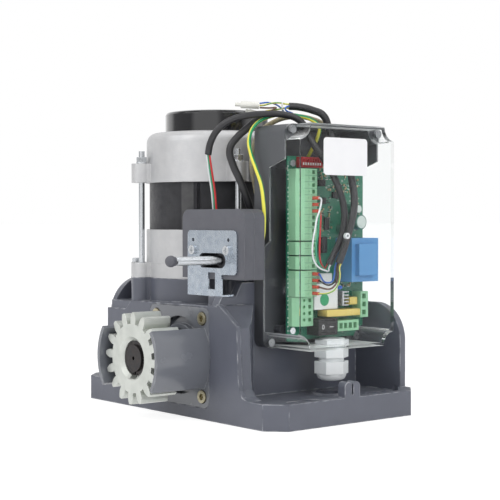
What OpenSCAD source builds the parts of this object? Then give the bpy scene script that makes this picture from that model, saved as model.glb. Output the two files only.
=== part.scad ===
// Sliding gate motor with its hood off, in millimetres.
// The origin is the middle of the foot's underside, +Z is up, the rack pinion
// faces -Y and the control box faces +X.

/* [Foot] */
// Length of the foot, across the gate's path
foot_len = 262; // [256:2:290]
// Height of the foot's edge
foot_h = 20; // [18:1:22]
// Corner cut of the foot
foot_cut = 14; // [6:1:20]
// Width of the raised rim
rim_w = 7; // [5:1:9]
// Depth of the floor inside the rim
rim_d = 3; // [2:0.5:4]
// Width of an anchor slot
slot_w = 9; // [8:1:12]
// Length of an anchor slot
slot_len = 32; // [24:1:40]
// Distance between the two slots of a row
slot_gap = 84; // [76:1:90]
// Diameter of the cable hole in the foot
cable_hole_d = 24; // [18:1:28]

/* [Drive] */
// Height of the output shaft
shaft_z = 48.5; // [47:0.5:50]
// Place of the output shaft along X
shaft_x = 13; // [10:1:16]
// Diameter of the output shaft
shaft_d = 25; // [24:0.5:26]
// Module of the rack pinion
rack_module = 4; // [3.8:0.1:4.1]
// Teeth of the rack pinion
rack_teeth = 16; // [14:1:16]
// Face width of the rack pinion
rack_face = 25; // [20:1:28]
// Teeth of the worm wheel
wheel_teeth = 30; // [30:1:30]
// Module of the worm drive
worm_module = 2; // [1.9:0.05:2.05]
// Pitch diameter of the worm
worm_pd = 20; // [19:0.5:21]

/* [Motor] */
// Outer diameter of the end shields
shield_d = 120; // [116:1:124]
// Height at which the motor sits on the gear case
seat_z = 108; // [106:1:110]
// Height of the lower end shield
low_shield_h = 40; // [36:1:44]
// Height of the bare stator stack
stack_h = 39; // [34:1:46]
// Height of the upper end shield
top_shield_h = 42; // [38:1:46]
// Height of the cap
cap_h = 17.5; // [14:0.5:20]
// Diameter of a tie rod
rod_d = 5; // [4:0.5:5.5]

/* [Control box] */
// Depth of the box, wall to clear front
box_depth = 54; // [52:1:60]
// Width of the box
box_wid = 101; // [100:1:104]
// Lower edge of the box
box_z0 = 55.5; // [54:0.5:57]
// Upper edge of the box
box_z1 = 230; // [226:1:236]
// Wall of the dark shell
shell_wall = 2.5; // [2:0.1:2.8]
// Wall of the clear cover
clear_wall = 2.2; // [1.8:0.1:2.6]

/* [Limit switch] */
// Width of the switch case
case_wid = 78.8; // [76:0.4:82]
// Height of the switch case
case_h = 54.4; // [50:0.4:58]
// Bottom of the switch case
case_z0 = 110; // [109:0.5:112]
// Reach of the spring rod in front of the case
rod_reach = 36; // [30:1:44]
// Swing of the spring rod to either side, in degrees
rod_swing = 25; // [15:1:30]

/* [Hidden] */
$fn = 48;
fine = 96;
hex = 6;
over = 1;
fit = 0.04;
gap = 0.2;
play = 0.5;

// Worm drive: the wheel's middle plane holds the motor axis
motor_y = -9;
wheel_pd = wheel_teeth * worm_module;
centre_dist = (wheel_pd + worm_pd) / 2;
motor_x = shaft_x - centre_dist;
worm_lead = PI * worm_module;
worm_len = 48;
worm_tip_r = worm_pd / 2 + worm_module;
worm_root_r = worm_pd / 2 - 1.25 * worm_module;
worm_thread_t = 1.3 * worm_module;
wheel_tip_r = wheel_pd / 2 + 0.75 * worm_module;
wheel_root_r = wheel_pd / 2 - 1.5 * worm_module;
wheel_tooth_t = 0.95 * worm_module;
chamber_room = 4.5;
wheel_chamber_r = wheel_pd / 2 + chamber_room;
worm_chamber_r = 16;

// The foot is as wide as the motor and the control box need
motor_margin = 37;
box_margin = 56;
foot_wid = max(shield_d + motor_margin, box_wid + box_margin);
front_y = -foot_wid / 2;
back_y = foot_wid / 2;

// Gear case and walls
case_drop = 20;
block_z = seat_z - case_drop;
pad_drop = 12;
pad_z = case_z0 - pad_drop;
case_depth = 35;
case_end_y = motor_y + case_depth;
left_room = 4;
left_x = motor_x - shield_d / 2 - left_room;
left_wall = 6;
right_room = 28;
right_x = motor_x + shield_d / 2 + right_room;
right_wall = 8;
wall_z = seat_z - over;
wall_round = 30;
wall_set = 4;
back_set = 2;
back_wall = 5;
back_drop = 19;
front_wall = 14;
web_out = 25;
web_x = right_x + web_out;
web_z = block_z - front_wall;
flare = [2.5, 7, 13];
flare_h = [14, 7, 2];
low_x = [28, 36];
low_drop = 7;
crown = [0.5, 1.5, 3];
ridge_w = 4;
ridge_proud = 1.5;
flank_y = [10, 20, 34, 37];
flank_x = [2, 1, 6, 4];
shoulder_y = [6, 20, 26];
drum_ease = 1;
lug_h = 27;
rod_lug_r = 8.5;
bolt_lug_r = 5.5;
lug_ease = 0.4;
lug_root = 6;
rod_out = 5.2;
rod_circle_r = shield_d / 2 + rod_out;
bolt_out = 8;
bolt_circle_r = shield_d / 2 + bolt_out;
bolt_turn = 20;
rod_angles = [for (i = [0:3]) -112.6 + 90 * i];
// The bolt beside the limit switch stands on the other side of its rod
bolt_angles = [for (i = [0:3]) rod_angles[i] + (i == 1 ? bolt_turn : -bolt_turn)];
slot_side = 4;
slot_x = (foot_len / 2 - left_x) / 2 - slot_side;
gusset_in = 18;
gusset_x = foot_len / 2 - gusset_in;
gusset_t = 6;
gusset_round = 30;
pocket_d = 8;
pocket_len = 58;
pocket_wid = 54;
pocket_at = [64, 40];
boss_set = [6, 18];
clip_wid = 16;
clip_h = 12;
clip_t = 8;
clip_r = clip_wid / 4;
clip_groove = 2;
cable_hole_out = 26;
cable_hole_x = right_x + cable_hole_out;
cable_hole_y = 17;
cable_rim_w = 3;
cable_rim_h = 1.5;
slot_mid_y = 13;
tap_at = [7, -7];
tap_d = 4;
tap_depth = 6;

// Flange and guard
flange_side = 78;
flange_t = 8;
flange_round = 5;
flange_boss_d = 66;
flange_recess_d = 62;
flange_recess = 5;
seal_rim = 8;
guard_in_r = 38;
guard_t = 3;
guard_half = 35;
guard_len = 50.5;
guard_root_w = 2.5;
guard_root_h = 3;
flange_screw_at = 30.5;
flange_screw_d = 6;
flange_head_d = 10;
flange_head_h = 5;
flange_key_d = 5 / cos(30);
flange_key_l = 3;
flange_screw_len = 20;

// Output shaft and bearings, in Y
gear_out = 45.5;
gear_face_y = front_y - gear_out;
gear_turn = 3.5;
gear_cut = 3;
ring_seat_depth = 5;
ring_step = 1.5;
ring_seat_d = shaft_d + 2 * ring_step;
ring_t = 1.5;
ring_wid = 3;
ring_ease = 0.5;
ring_d = ring_seat_d - 2 * ring_ease;
tip_d = ring_d - 2 * ring_wid;
ring_slit = 2.4;
ring_eye_d = 1.2;
ring_eye_at = 3;
tip_out = 3.4;
centre_d = 3;
centre_l = 4;
front_bearing_d = 52;
front_bearing_w = 15;
seal_w = 7;
seal_d = 42;
seal_lip = [2.5, 1.5];
front_bearing_y = front_y + seal_w;
collar_d = 31;
wheel_seat_d = 28;
wheel_w = 10;
wheel_hub_w = 22;
wheel_hub_d = 46;
rear_journal_d = 20;
rear_bearing_d = 47;
rear_bearing_w = 14;
rear_bearing_y = motor_y + rear_bearing_w + over;
key_w = 8;
key_h = 7;
key_len = 16;
key_in = 2;

// Rotor, stator and shields
worm_bore_d = 10;
foot_bearing_d = 30;
foot_bearing_w = 9;
foot_bearing_z = 15;
journal_d = 17;
journal_room = 2;
rotor_seat_d = 20;
motor_bearing_d = 40;
motor_bearing_w = 12;
bearing_rim = 10;
rotor_share = 0.542;
rotor_d = shield_d * rotor_share;
air_gap = 0.5;
rotor_over = 2;
stack_step = 3;
stack_d = shield_d - 2 * stack_step;
shield_wall = 5;
shield_floor = 5;
shield_round = 8;
shield_ease = 0.6;
ear_low_h = 12;
ear_top_h = 16;
spigot_d = 50;
spigot_h = 3;
stack_z = seat_z + low_shield_h;
top_shield_z = stack_z + stack_h;
motor_top_z = top_shield_z + top_shield_h;
low_bearing_z = seat_z + over;
top_bearing_z = motor_top_z - shield_floor - motor_bearing_w;
seam_d = 3;
seam_turn = 60;
winding_h = 17;
winding_ease = 4;
winding_in_r = rotor_d / 2 + ring_wid;
winding_out_r = stack_d / 2 - lug_root;
cap_share = 0.725;
cap_d = shield_d * cap_share;
cap_wall = 2.5;
cap_edge = [[0, 2.2], [0.8, 0.7], [2.4, 0]];
cap_screw_r = 16;
cap_screw_d = 3;
cap_screw_in = 3.8;
cap_post_d = 8;
cap_head_d = 6;
cap_head_h = 1.8;
cap_angles = [90:120:330];
nut_w = 8;
nut_h = 4.5;
nut_turn = 20;
washer_h = 1;
washer_d = 9.5;
rod_over = 5;
rod_grip = 16;
bolt_d = 5;
bolt_head_w = 8;
bolt_head_h = 3.5;
bolt_grip = 14;
lead_hole_d = 8;
motor_lead_z = 133;
motor_lead_angle = -5;
sleeve_z = 140;
sleeve_angle = 1;
capacitor_d = 36;
capacitor_side = 4;
capacitor_x = right_x - right_wall - capacitor_side - capacitor_d / 2;
capacitor_y = back_y - back_set - back_wall - play - capacitor_d / 2;
tag_size = [0.8, 6, 8];
tag_at = 6;
capacitor_h = seat_z - lug_h - foot_h + rim_d - tag_size[2] - capacitor_side;

// Limit switch
case_mid_in = 14;
case_mid_x = right_x - case_mid_in;
case_left = 40.4;
case_x0 = case_mid_x - case_left;
case_x1 = case_x0 + case_wid;
case_set = 8.5;
case_half = 10;
case_front_y = front_y + case_set;
case_split_y = case_front_y + case_half;
case_back_y = case_split_y + case_half;
case_wall = 2;
case_round = 8;
case_tuck_x = 14;
tuck_ease = 0.6;
tuck_w = [3, 3.4];
post_wall = 2;
shelf_half = 6;
shelf_h = 3;
shelf_in = 4;
core_in = 6;
core_hole_d = 1.9;
bracket_t = 1.5;
bracket_side = [31.6, 30.6, 11.9];
bracket_rise = [3.6, 38, 9.6];
bracket_x0 = case_mid_x - bracket_side[0];
bracket_x1 = case_mid_x + bracket_side[1];
bracket_z0 = case_z0 + bracket_rise[0];
bracket_z1 = case_z0 + bracket_rise[1];
bracket_round = 4;
bracket_tab_x1 = case_mid_x + bracket_side[2];
bracket_tab_z = pad_z;
bracket_foot = 9;
bracket_lip = [2, 1];
window_at = [-5, 4];
window_size = [9, 13];
rod_slot_w = 11.5;
rod_slot_len = 34;
rod_rise = 14.4;
rod_z = case_z0 + rod_rise;
lever_in = 2.5;
lever_y = case_split_y + lever_in;
lever_hub_r = 5.2;
lever_hub_h = 14;
lever_pin_d = 4;
lever_pin_out = 3.2;
lever_core_d = 4;
lever_core_in = 4;
lever_arm = [9, 1.5, 5];
spring_d = 7;
spring_wire = 1.2;
tip_ball_d = 9;
tip_sink = 0.8;
tip_plug = 2;
limit_screw_d = 4;
limit_head_d = 7.5;
limit_head_h = 2.4;
limit_cross = [2.2, 0.5, 1.2];
limit_screw_x = [case_mid_x - 23.7, case_mid_x + 19.8];
limit_screw_up = 22.4;
limit_screw_z = case_z0 + limit_screw_up;
limit_screw_end = [3, 4];
small_hole_x = [case_mid_x - 24.2, case_mid_x + 20.6];
small_hole_up = 30.5;
small_hole_z = case_z0 + small_hole_up;
small_hole_d = 3;
boss_side = [3, 13];
boss_x0 = case_mid_x - boss_side[0];
boss_x1 = case_mid_x + boss_side[1];
switch_size = [18, 5.5, 10];
switch_out = 7;
switch_hole = [5, 3, 2.2];

// Control box: places on its faces are shares of its width and height
box_x0 = right_x;
box_x1 = right_x + box_depth;
box_set = 38.5;
box_y0 = front_y + box_set;
box_y1 = box_y0 + box_wid;
box_mid_y = (box_y0 + box_y1) / 2;
box_mid_z = (box_z0 + box_z1) / 2;
box_high = box_z1 - box_z0;
box_round = 7;
function box_y(share) = box_y0 + share * box_wid;
function box_z(share) = box_z0 + share * box_high;
split_low_x = box_x0 + box_depth * 11 / 54;
split_mid_x = box_x0 + box_depth * 18 / 54;
split_top_x = box_x0 + box_depth * 36 / 54;
split_low_z = box_z(0.4556);
split_mid_z = box_z(0.4814);
split_high_z = box_z(0.8109);
split_top_z = box_z(0.8453);
split_fit = 0.15;
notch_r = 11;
notch_wall = 2;
lug_t = 2.5;
lug_inset = 4.6;
lug_grip = [8, 10, 30];
cover_screw_d = 3;
cover_screw_in = 6;
cover_head_d = 6.4;
cover_head_h = 2.5;
entry_x0 = box_x0 + box_depth * 20 / 54;
entry_x1 = box_x0 + box_depth * 33 / 54;
entry_y0 = box_y(0.2574);
entry_y1 = box_y(0.6337);
box_screw_ys = [box_y(0.3168), box_y(0.7723)];
box_screw_zs = [box_z(0.0831), box_z(0.255)];
box_screw_d = 5;
box_screw_end = 3;
box_hole_end = 2;
box_head_d = 9;
box_head_h = 3;

// Board and what it carries: spans are shares of its width and height
board_in = 19;
board_x = box_x0 + board_in;
board_t = 1.6;
board_y0 = box_y(0.1683);
board_y1 = box_y(0.9703);
board_z0 = box_z(0.0344);
board_z1 = box_z(0.8625);
board_top = board_x + board_t;
board_cut_r = 14.5;
function on_y(share) = board_y0 + share * (board_y1 - board_y0);
function on_z(share) = board_z0 + share * (board_z1 - board_z0);
standoff_d = 7;
board_hole = [2.5, 6];
board_screw_d = 3;
board_head = [5.5, 2, 5.5];
board_screw_ys = [on_y(0.0556), on_y(0.9012)];
board_screw_zs = [on_z(0.0519), on_z(0.9619)];
block_ys = [on_y(0.0148), on_y(0.0741), on_y(0.2346)];
block_slant = 4;
block_rises = [8, 12.4, 12.4, 12.4, 12.4];
block_spans = [for (s = [
    [0.0761, 0.2346], [0.2381, 0.3792], [0.3862, 0.4574], [0.4644, 0.5356], [0.5426, 0.9308]
]) [on_z(s[0]), on_z(s[1])]];
way_pitch = 5.08;
way_side = 3;
way_depth = 5;
way_y = on_y(0.1914);
way_screw = [6, 2, 2.6];
ferrule_d = 2.6;
ferrule_len = 9;
ferrule_in = 3;
way_inset = 2.6;
function way_z(span, k) = block_spans[span][1] - way_inset - k * way_pitch;
ferrule_ways = [
    way_z(1, 3), way_z(1, 2), way_z(1, 1), way_z(1, 0), way_z(4, 6), way_z(4, 5), way_z(4, 4)
];
plug_low_shares = [[0.5309, 0.8148], [0.0381, 0.0969]];
plug_low_rise = 11;
plug_low_hole_shares = [for (k = [0.07:0.226:0.8]) [[k, k + 0.152], [0.24, 0.76]]];
plug_side_shares = [[0.8519, 0.9568], [0.1073, 0.2526]];
plug_side_rise = 10;
plug_side_hole_shares = [for (k = [0.095:0.314:0.8]) [[0.235, 0.706], [k, k + 0.19]]];
plug_depth = 6;
dip_shares = [[0.1148, 0.3926], [0.9398, 0.9965]];
dip_rise = 5;
dip_way_shares = [for (k = [0.06:0.1129:0.86]) [[k, k + 0.068], [0.2, 0.8]]];
trafo_foot_shares = [[0.6235, 0.9877], [0.3114, 0.5536]];
trafo_top_shares = [[0.6728, 0.9086], [0.3474, 0.5211]];
trafo_rise = [19, 23.4];
relay_shares = [[0.247, 0.5556], [0.1626, 0.3045]];
relay_rise = 8.4;
can_shares = [[0.7827, 0.6422], [0.7926, 0.7149], [0.679, 0.6021]];
can_size = [[12, 17], [8, 13], [8, 11]];
film_shares = [[0.3778, 0.8272], [0.1211, 0.159]];
film_small_shares = [[0.7284, 0.8346], [0.18, 0.2236]];
film_rise = [12, 8];
fin_back_shares = [0.5926, 0.6111];
fin_y_shares = [0.605, 0.679];
fin_z_shares = [0.1785, 0.2595];
fin_rise = 11;
fin_count = 5;
fin_pitch = 2.6;
fin_t = 1.1;
rocker_y = on_y(0.3642);
rocker_z = on_z(0.0692);
rocker_rise = 14;
rocker_x = board_top + rocker_rise;
rocker_size = [20, 13];
rocker_wall = 1.5;
rocker_depth = 9;
rocker_tilt = 12;
rocker_pin_d = 3;
rocker_pin_in = 2.5;
rocker_ease = [0.9, 0.3, 0.1];
rocker_nose = [1, 2, 4.5];
rocker_face = [1.5, 3.2, 1.6];

// Cable gland
gland_in = 31;
gland_x = box_x0 + gland_in;
gland_y = box_y(0.5347);
gland_thread_d = 20;
gland_thread_t = 3;
gland_bore_d = 13;
gland_hex = 24;
gland_flange_h = 8.5;
gland_flange_z = box_z0 - gland_flange_h;
gland_nut_h = [26.5, 11.5];
gland_nut_z0 = box_z0 - gland_nut_h[0];
gland_nut_z1 = box_z0 - gland_nut_h[1];
gland_floor = 5;
gland_seal_h = 9;
gland_seal_z1 = gland_nut_z0 + gland_floor + gland_seal_h;
gland_lip = 0.5;
locknut_h = 3.4;
gland_cone = [[8.5, 0], [10.6, 1.2], [11.6, 3.2], [11.9, 5.5]];

module cyl_z(x, y, z0, z1, d) translate([x, y, z0]) cylinder(h = z1 - z0, d = d);

module cyl_y(x, z, y0, y1, d)
    translate([x, y1, z]) rotate([90, 0, 0]) cylinder(h = y1 - y0, d = d);

module cyl_x(y, z, x0, x1, d)
    translate([x0, y, z]) rotate([0, 90, 0]) cylinder(h = x1 - x0, d = d);

module on_shaft(y0, y1, d) cyl_y(shaft_x, shaft_z, y0, y1, d);

module on_motor(z0, z1, d) cyl_z(motor_x, motor_y, z0, z1, d);

module on_gland(z0, z1, d) cyl_z(gland_x, gland_y, z0, z1, d);

module block(x0, x1, y0, y1, z0, z1)
    translate([x0, y0, z0]) cube([x1 - x0, y1 - y0, z1 - z0]);

// A drawing in X and Z, given depth from y0 to y1
module deep_y(y0, y1)
    translate([0, y1, 0]) rotate([90, 0, 0]) linear_extrude(y1 - y0) children();

// A drawing in Y and Z, given depth from x0 to x1
module deep_x(x0, x1)
    translate([x0, 0, 0]) rotate([90, 0, 90]) linear_extrude(x1 - x0) children();

module round_rect(w, h, r) {
    square([w - 2 * r, h], center = true);
    square([w, h - 2 * r], center = true);
    for (sx = [-1, 1], sy = [-1, 1])
        translate([sx * (w / 2 - r), sy * (h / 2 - r)]) circle(r = r);
}

module hex_z(x, y, z0, z1, across)
    translate([x, y, z0]) cylinder(h = z1 - z0, d = across / cos(30), $fn = hex);

module at_flange_screws()
    for (sx = [-1, 1], sz = [-1, 1])
        translate([shaft_x + sx * flange_screw_at, 0, shaft_z + sz * flange_screw_at]) children();

module at_limit_screws() for (x = limit_screw_x) translate([x, 0, limit_screw_z]) children();

module at_motor(angle, radius)
    translate([motor_x + radius * cos(angle), motor_y + radius * sin(angle), 0]) children();

module turned_y(x, z)
    translate([x, 0, z]) rotate([-90, 0, 0]) rotate_extrude() children();

// Involute tooth form: half the angle that a tooth takes at radius r
function involute(a) = tan(a) * 180 / PI - a;
function half_tooth(r, pitch_r, half_at_pitch) =
    half_at_pitch + involute(20) - involute(acos(min(1, pitch_r * cos(20) / r)));
function tooth_radii(root_r, base_r, pitch_r, tip_r) =
    [root_r, max(base_r, root_r + 0.01), pitch_r, (pitch_r + tip_r) / 2, tip_r];
function gear_outline(teeth, pitch_r, root_r, tip_r, half_at_pitch) = [
    for (i = [0:teeth - 1], side = [-1, 1], k = [0:4])
        let (
            radii = tooth_radii(root_r, pitch_r * cos(20), pitch_r, tip_r),
            r = radii[side < 0 ? k : 4 - k],
            a = 360 * i / teeth + side * half_tooth(r, pitch_r, half_at_pitch)
        )
        [r * cos(a), r * sin(a)]
];

// A round tube swept along a list of points
function unit(v) = v / norm(v);
function along(points, i) =
    unit(points[min(i + 1, len(points) - 1)] - points[max(i - 1, 0)]);
function ring_at(points, i, r, sides, aside) =
    let (
        t = along(points, i),
        side = unit(cross(t, aside)),
        up = cross(side, t)
    )
    [for (k = [0:sides - 1])
        points[i] + r * (cos(360 * k / sides) * side + sin(360 * k / sides) * up)];

module swept_tube(points, d, sides = 8, aside = [0.91, 0.12, 0.39]) {
    last = len(points) - 1;
    rings = [for (i = [0:last])
        each ring_at(points, i, (is_list(d) ? d[i] : d) / 2, sides, aside)];
    walls = [
        for (i = [0:last - 1], k = [0:sides - 1])
            let (a = i * sides + k, b = i * sides + (k + 1) % sides)
            each [[a, a + sides, b], [b, a + sides, b + sides]]
    ];
    start = [[for (k = [0:sides - 1]) k]];
    end = [[for (k = [sides - 1:-1:0]) last * sides + k]];
    polyhedron(rings, concat(walls, start, end), convexity = 6);
}

// Routes of the leads, chosen by hand
motor_route = [
    [28, -13.8, 133], [34, -14.3, 133], [39, -16.5, 134], [44, -21, 138], [48, -28, 148],
    [50, -34, 162], [50, -40, 176], [48, -45, 189], [45, -49, 200], [44, -51, 212], [48, -46, 222],
    [52, -42, 227], [56, -37, 232.6], [61, -32.5, 237.5], [62, -32, 238]
];
box_route = [
    [72.8, -14.2, 245.8], [77, -7, 245.3], [83, 2, 242.8], [88, 8.3, 239], [90.5, 12, 229],
    [92, 14, 220], [97, 19, 208], [102, 23, 196], [104, 25, 184], [107, 24, 170], [108, 21, 158],
    [107, 17, 144], [106, 13, 132], [104, 10, 122]
];
earth_route = [
    [64, 6, 194], [67, 6, 197], [72, 6, 206], [79, 6, 215], [84, 6, 222], [86, 5.5, 230],
    [83, 1, 235], [78, -7, 238], [72, -18, 239], [67, -30, 237], [64, -42, 230], [63, -47, 219],
    [65, -47, 208], [70, -46, 196], [75, -45, 184], [78, -45, 170], [79, -45, 155], [77, -45, 140],
    [71, -45, 126], [63, -45, 115], [57, -45, 110]
];
sleeve_route = [
    [84.2, 23, 194], [85.4, 22.5, 199], [87, 20.5, 210], [86, 18.5, 222], [83, 15, 231], [76, 5, 237],
    [68, -8, 238], [60, -19, 234], [53, -27, 226], [49, -31, 214], [48, -32, 200], [46, -27, 184],
    [43, -20, 167], [41, -14, 152], [39, -10, 144], [34, -8.2, 140], [28, -8, 140]
];
limit_route = [
    [30, -62, 208], [33, -62, 217], [40, -59, 228], [50, -53, 235], [61, -45, 238], [70, -34, 239],
    [77, -23, 238.5], [83, -14, 235], [86, -9, 229], [87, -6, 222], [90, -2, 213], [95, 3, 203],
    [99, 8, 192], [101, 13, 180], [102, 17, 167], [102, 17.5, 154], [101, 15, 141], [98, 11, 130],
    [96, 7, 121]
];
motor_cable_d = 6;
earth_d = 3;
sleeve_d = 4;
limit_cable_d = 5.5;
core_d = 1.6;
core_spread = [-2, 0, 2];
core_top_z = case_z0 + case_h;
core_route = [[30, -62, 207.7], [30.5, -60, 194], [31, -57.5, 178], [31, -56, core_top_z - over]];
core_fan = [[0.5, 0.3, 0], [1, 0, 0], [1, 0, 0], [1, 0, 0]];
lead_d = 1.35;
lead_stub = 0.8;
lead_sides = 6;
// In the order of the ferrules: yellow-green, brown, black, blue, red, green, white
lead_routes = [
    [[105.5, -6.5, 98.6], [108.8, -3, 99.8], [109, 2, 102.5], [108.9, 5.5, 107.5], [107.9, 7.6, 113],
     [105.79, 9.15, 118.71], [106.35, 10, 121.53]],
    [[104.5, -7, 102.8], [106.8, -3, 102.2], [107, 2, 104], [106.9, 5.8, 108.5], [106, 7.6, 113.3],
     [104.22, 9.15, 119.02], [104.8, 10, 121.84]],
    [[103, -7.5, 107.8], [104.8, -4, 105.6], [105, 1, 105.6], [104.9, 5.5, 108.5],
     [103.9, 7.6, 113.5], [102.66, 9.15, 119.34], [103.2, 10, 122.16]],
    [[102.5, -8, 112.5], [103, -5.5, 108.6], [103, -1, 106.9], [103, 4, 108], [102, 7.2, 113],
     [101.09, 9.15, 119.65], [101.65, 10, 122.47]],
    [[102, -7.5, 160.5], [103, -8.5, 152], [103, -9.2, 139], [102.5, -9, 131], [101, -7, 124.5],
     [98, -1.5, 119.6], [95, 3.6, 117.6], [93.74, 5.81, 118.68], [94.34, 7, 121.37]],
    [[102.5, -8.5, 167], [104.5, -11, 161], [105, -13, 146], [105, -15, 134], [104.6, -14, 127],
     [103, -8.5, 120.4], [100, -1.5, 117.4], [96.6, 3.6, 116.6], [95.4, 5.81, 118.31], [96, 7, 121]],
    [[103, -8, 172.5], [106, -10.5, 169.5], [107, -13, 164], [107, -16, 157], [107.3, -18.4, 148],
     [107.3, -20.4, 139], [107, -20.4, 129.5], [106, -17, 123], [104.5, -10.5, 118.6],
     [102.5, -3, 116.6], [100.2, 2.2, 115.8], [98.2, 4.8, 116.2], [97.06, 5.81, 117.94],
     [97.66, 7, 120.63]]
];
// Each crimp cap and the wire that leaves it, then the wires that reach it from the far end
cap_routes = [
    [[46.8, -48, 247.2], [49.2, -44.8, 247], [49.7, -44.2, 247], [58.3, -33, 246.4],
     [58.55, -32.7, 246.4], [60.5, -30.2, 246.6], [64.4, -25.1, 248.2], [68.5, -19.8, 248.4],
     [71.3, -16.8, 247.6], [72.8, -14.2, 247.4]],
    [[49.9, -39.9, 242.7], [51.4, -38, 242], [51.9, -37.4, 241.8], [56, -32, 240],
     [56.24, -31.7, 239.9], [58.5, -29.2, 239.6], [61.5, -26.6, 239.8], [64.5, -25.6, 240.6],
     [66.3, -27, 240.8], [65.8, -28.8, 240.1], [64, -29.6, 239.3], [61.37, -30.64, 238.02]]
];
cap_ds = [[3, 3, 5.6, 5.6], [2.6, 2.6, 4, 4]];
loop_routes = [
    [[62.71, -33.32, 238.02], [65.1, -32.1, 239.2], [68, -29.8, 241.4], [69.3, -26, 243.6],
     [67.2, -23.3, 244.7], [64.2, -25.6, 244.5], [61.2, -29.3, 244.5], [58.57, -32.64, 244.7]],
    [[72.7, -14.37, 244.2], [71.3, -16.8, 244.4], [68, -21, 243.4], [64.5, -24.6, 242.9],
     [61, -27.6, 242.2], [58.6, -28.9, 241.5], [56.5, -31.3, 241.5]]
];

module foot_outline(inset) {
    hx = foot_len / 2 - inset;
    hy = foot_wid / 2 - inset;
    c = foot_cut;
    polygon([
        [-hx + c, -hy], [hx - c, -hy], [hx, -hy + c], [hx, hy - c],
        [hx - c, hy], [-hx + c, hy], [-hx, hy - c], [-hx, -hy + c]
    ]);
}

module front_outline(proud = 0) polygon([
    [left_x + over, foot_h / 2], [left_x + over, block_z - low_drop],
    [left_x + low_x[0], block_z - low_drop], [left_x + low_x[1], block_z + crown[0] + proud],
    [right_x + crown[2], block_z + crown[1] + proud], [web_x - over + proud, web_z + proud],
    [web_x + over + proud, foot_h + flare_h[0]], [web_x + flare[0] + proud, foot_h + flare_h[1]],
    [web_x + flare[1], foot_h + flare_h[2]], [web_x + flare[2], foot_h],
    [web_x + flare[2], foot_h / 2]
]);

module side_wall_outline() {
    y0 = front_y + wall_set;
    polygon([
        [y0, foot_h / 2], [y0, wall_z - wall_round], [y0 + wall_round, wall_z],
        [back_y - back_set, wall_z], [back_y - back_set, foot_h / 2]
    ]);
    translate([y0 + wall_round, wall_z - wall_round]) circle(r = wall_round);
}

module right_wall_outline() polygon([
    [front_y + over, foot_h / 2], [front_y + over, block_z],
    [front_y + shoulder_y[0], pad_z - bracket_t], [front_y + shoulder_y[1], pad_z - bracket_t],
    [front_y + shoulder_y[2], wall_z], [back_y - back_set, wall_z],
    [back_y - back_set, foot_h / 2]
]);

module lug_outline(angle, circle_r, r) rotate(angle) {
    half = r - lug_ease;
    translate([circle_r, 0]) circle(r = r);
    translate([shield_d / 2 - lug_root, -half])
        square([circle_r - shield_d / 2 + lug_root, 2 * half]);
}

module rod_lugs() for (a = rod_angles) lug_outline(a, rod_circle_r, rod_lug_r);

module bolt_lugs() for (a = bolt_angles) lug_outline(a, bolt_circle_r, bolt_lug_r);

module seat_drum(z0, z1) translate([motor_x, motor_y, z0]) linear_extrude(z1 - z0) {
    circle(d = shield_d, $fn = fine);
    rod_lugs();
    bolt_lugs();
}

module anchor_slot(y) {
    half = (slot_len - slot_w) / 2;
    for (side = [-1, 1]) {
        cyl_z(side * slot_x, y - half, -over, foot_h + over, slot_w);
        cyl_z(side * slot_x, y + half, -over, foot_h + over, slot_w);
        block(side * slot_x - slot_w / 2, side * slot_x + slot_w / 2,
            y - half, y + half, -over, foot_h + over);
    }
}

module cable_clip() {
    block(foot_len / 2 - clip_t, foot_len / 2, -clip_wid / 2, clip_wid / 2,
        foot_h / 2, foot_h + clip_h - clip_r);
    for (side = [-1, 1])
        cyl_x(side * clip_wid / 4, foot_h + clip_h - clip_r, foot_len / 2 - clip_t,
            foot_len / 2, 2 * clip_r);
}

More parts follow.
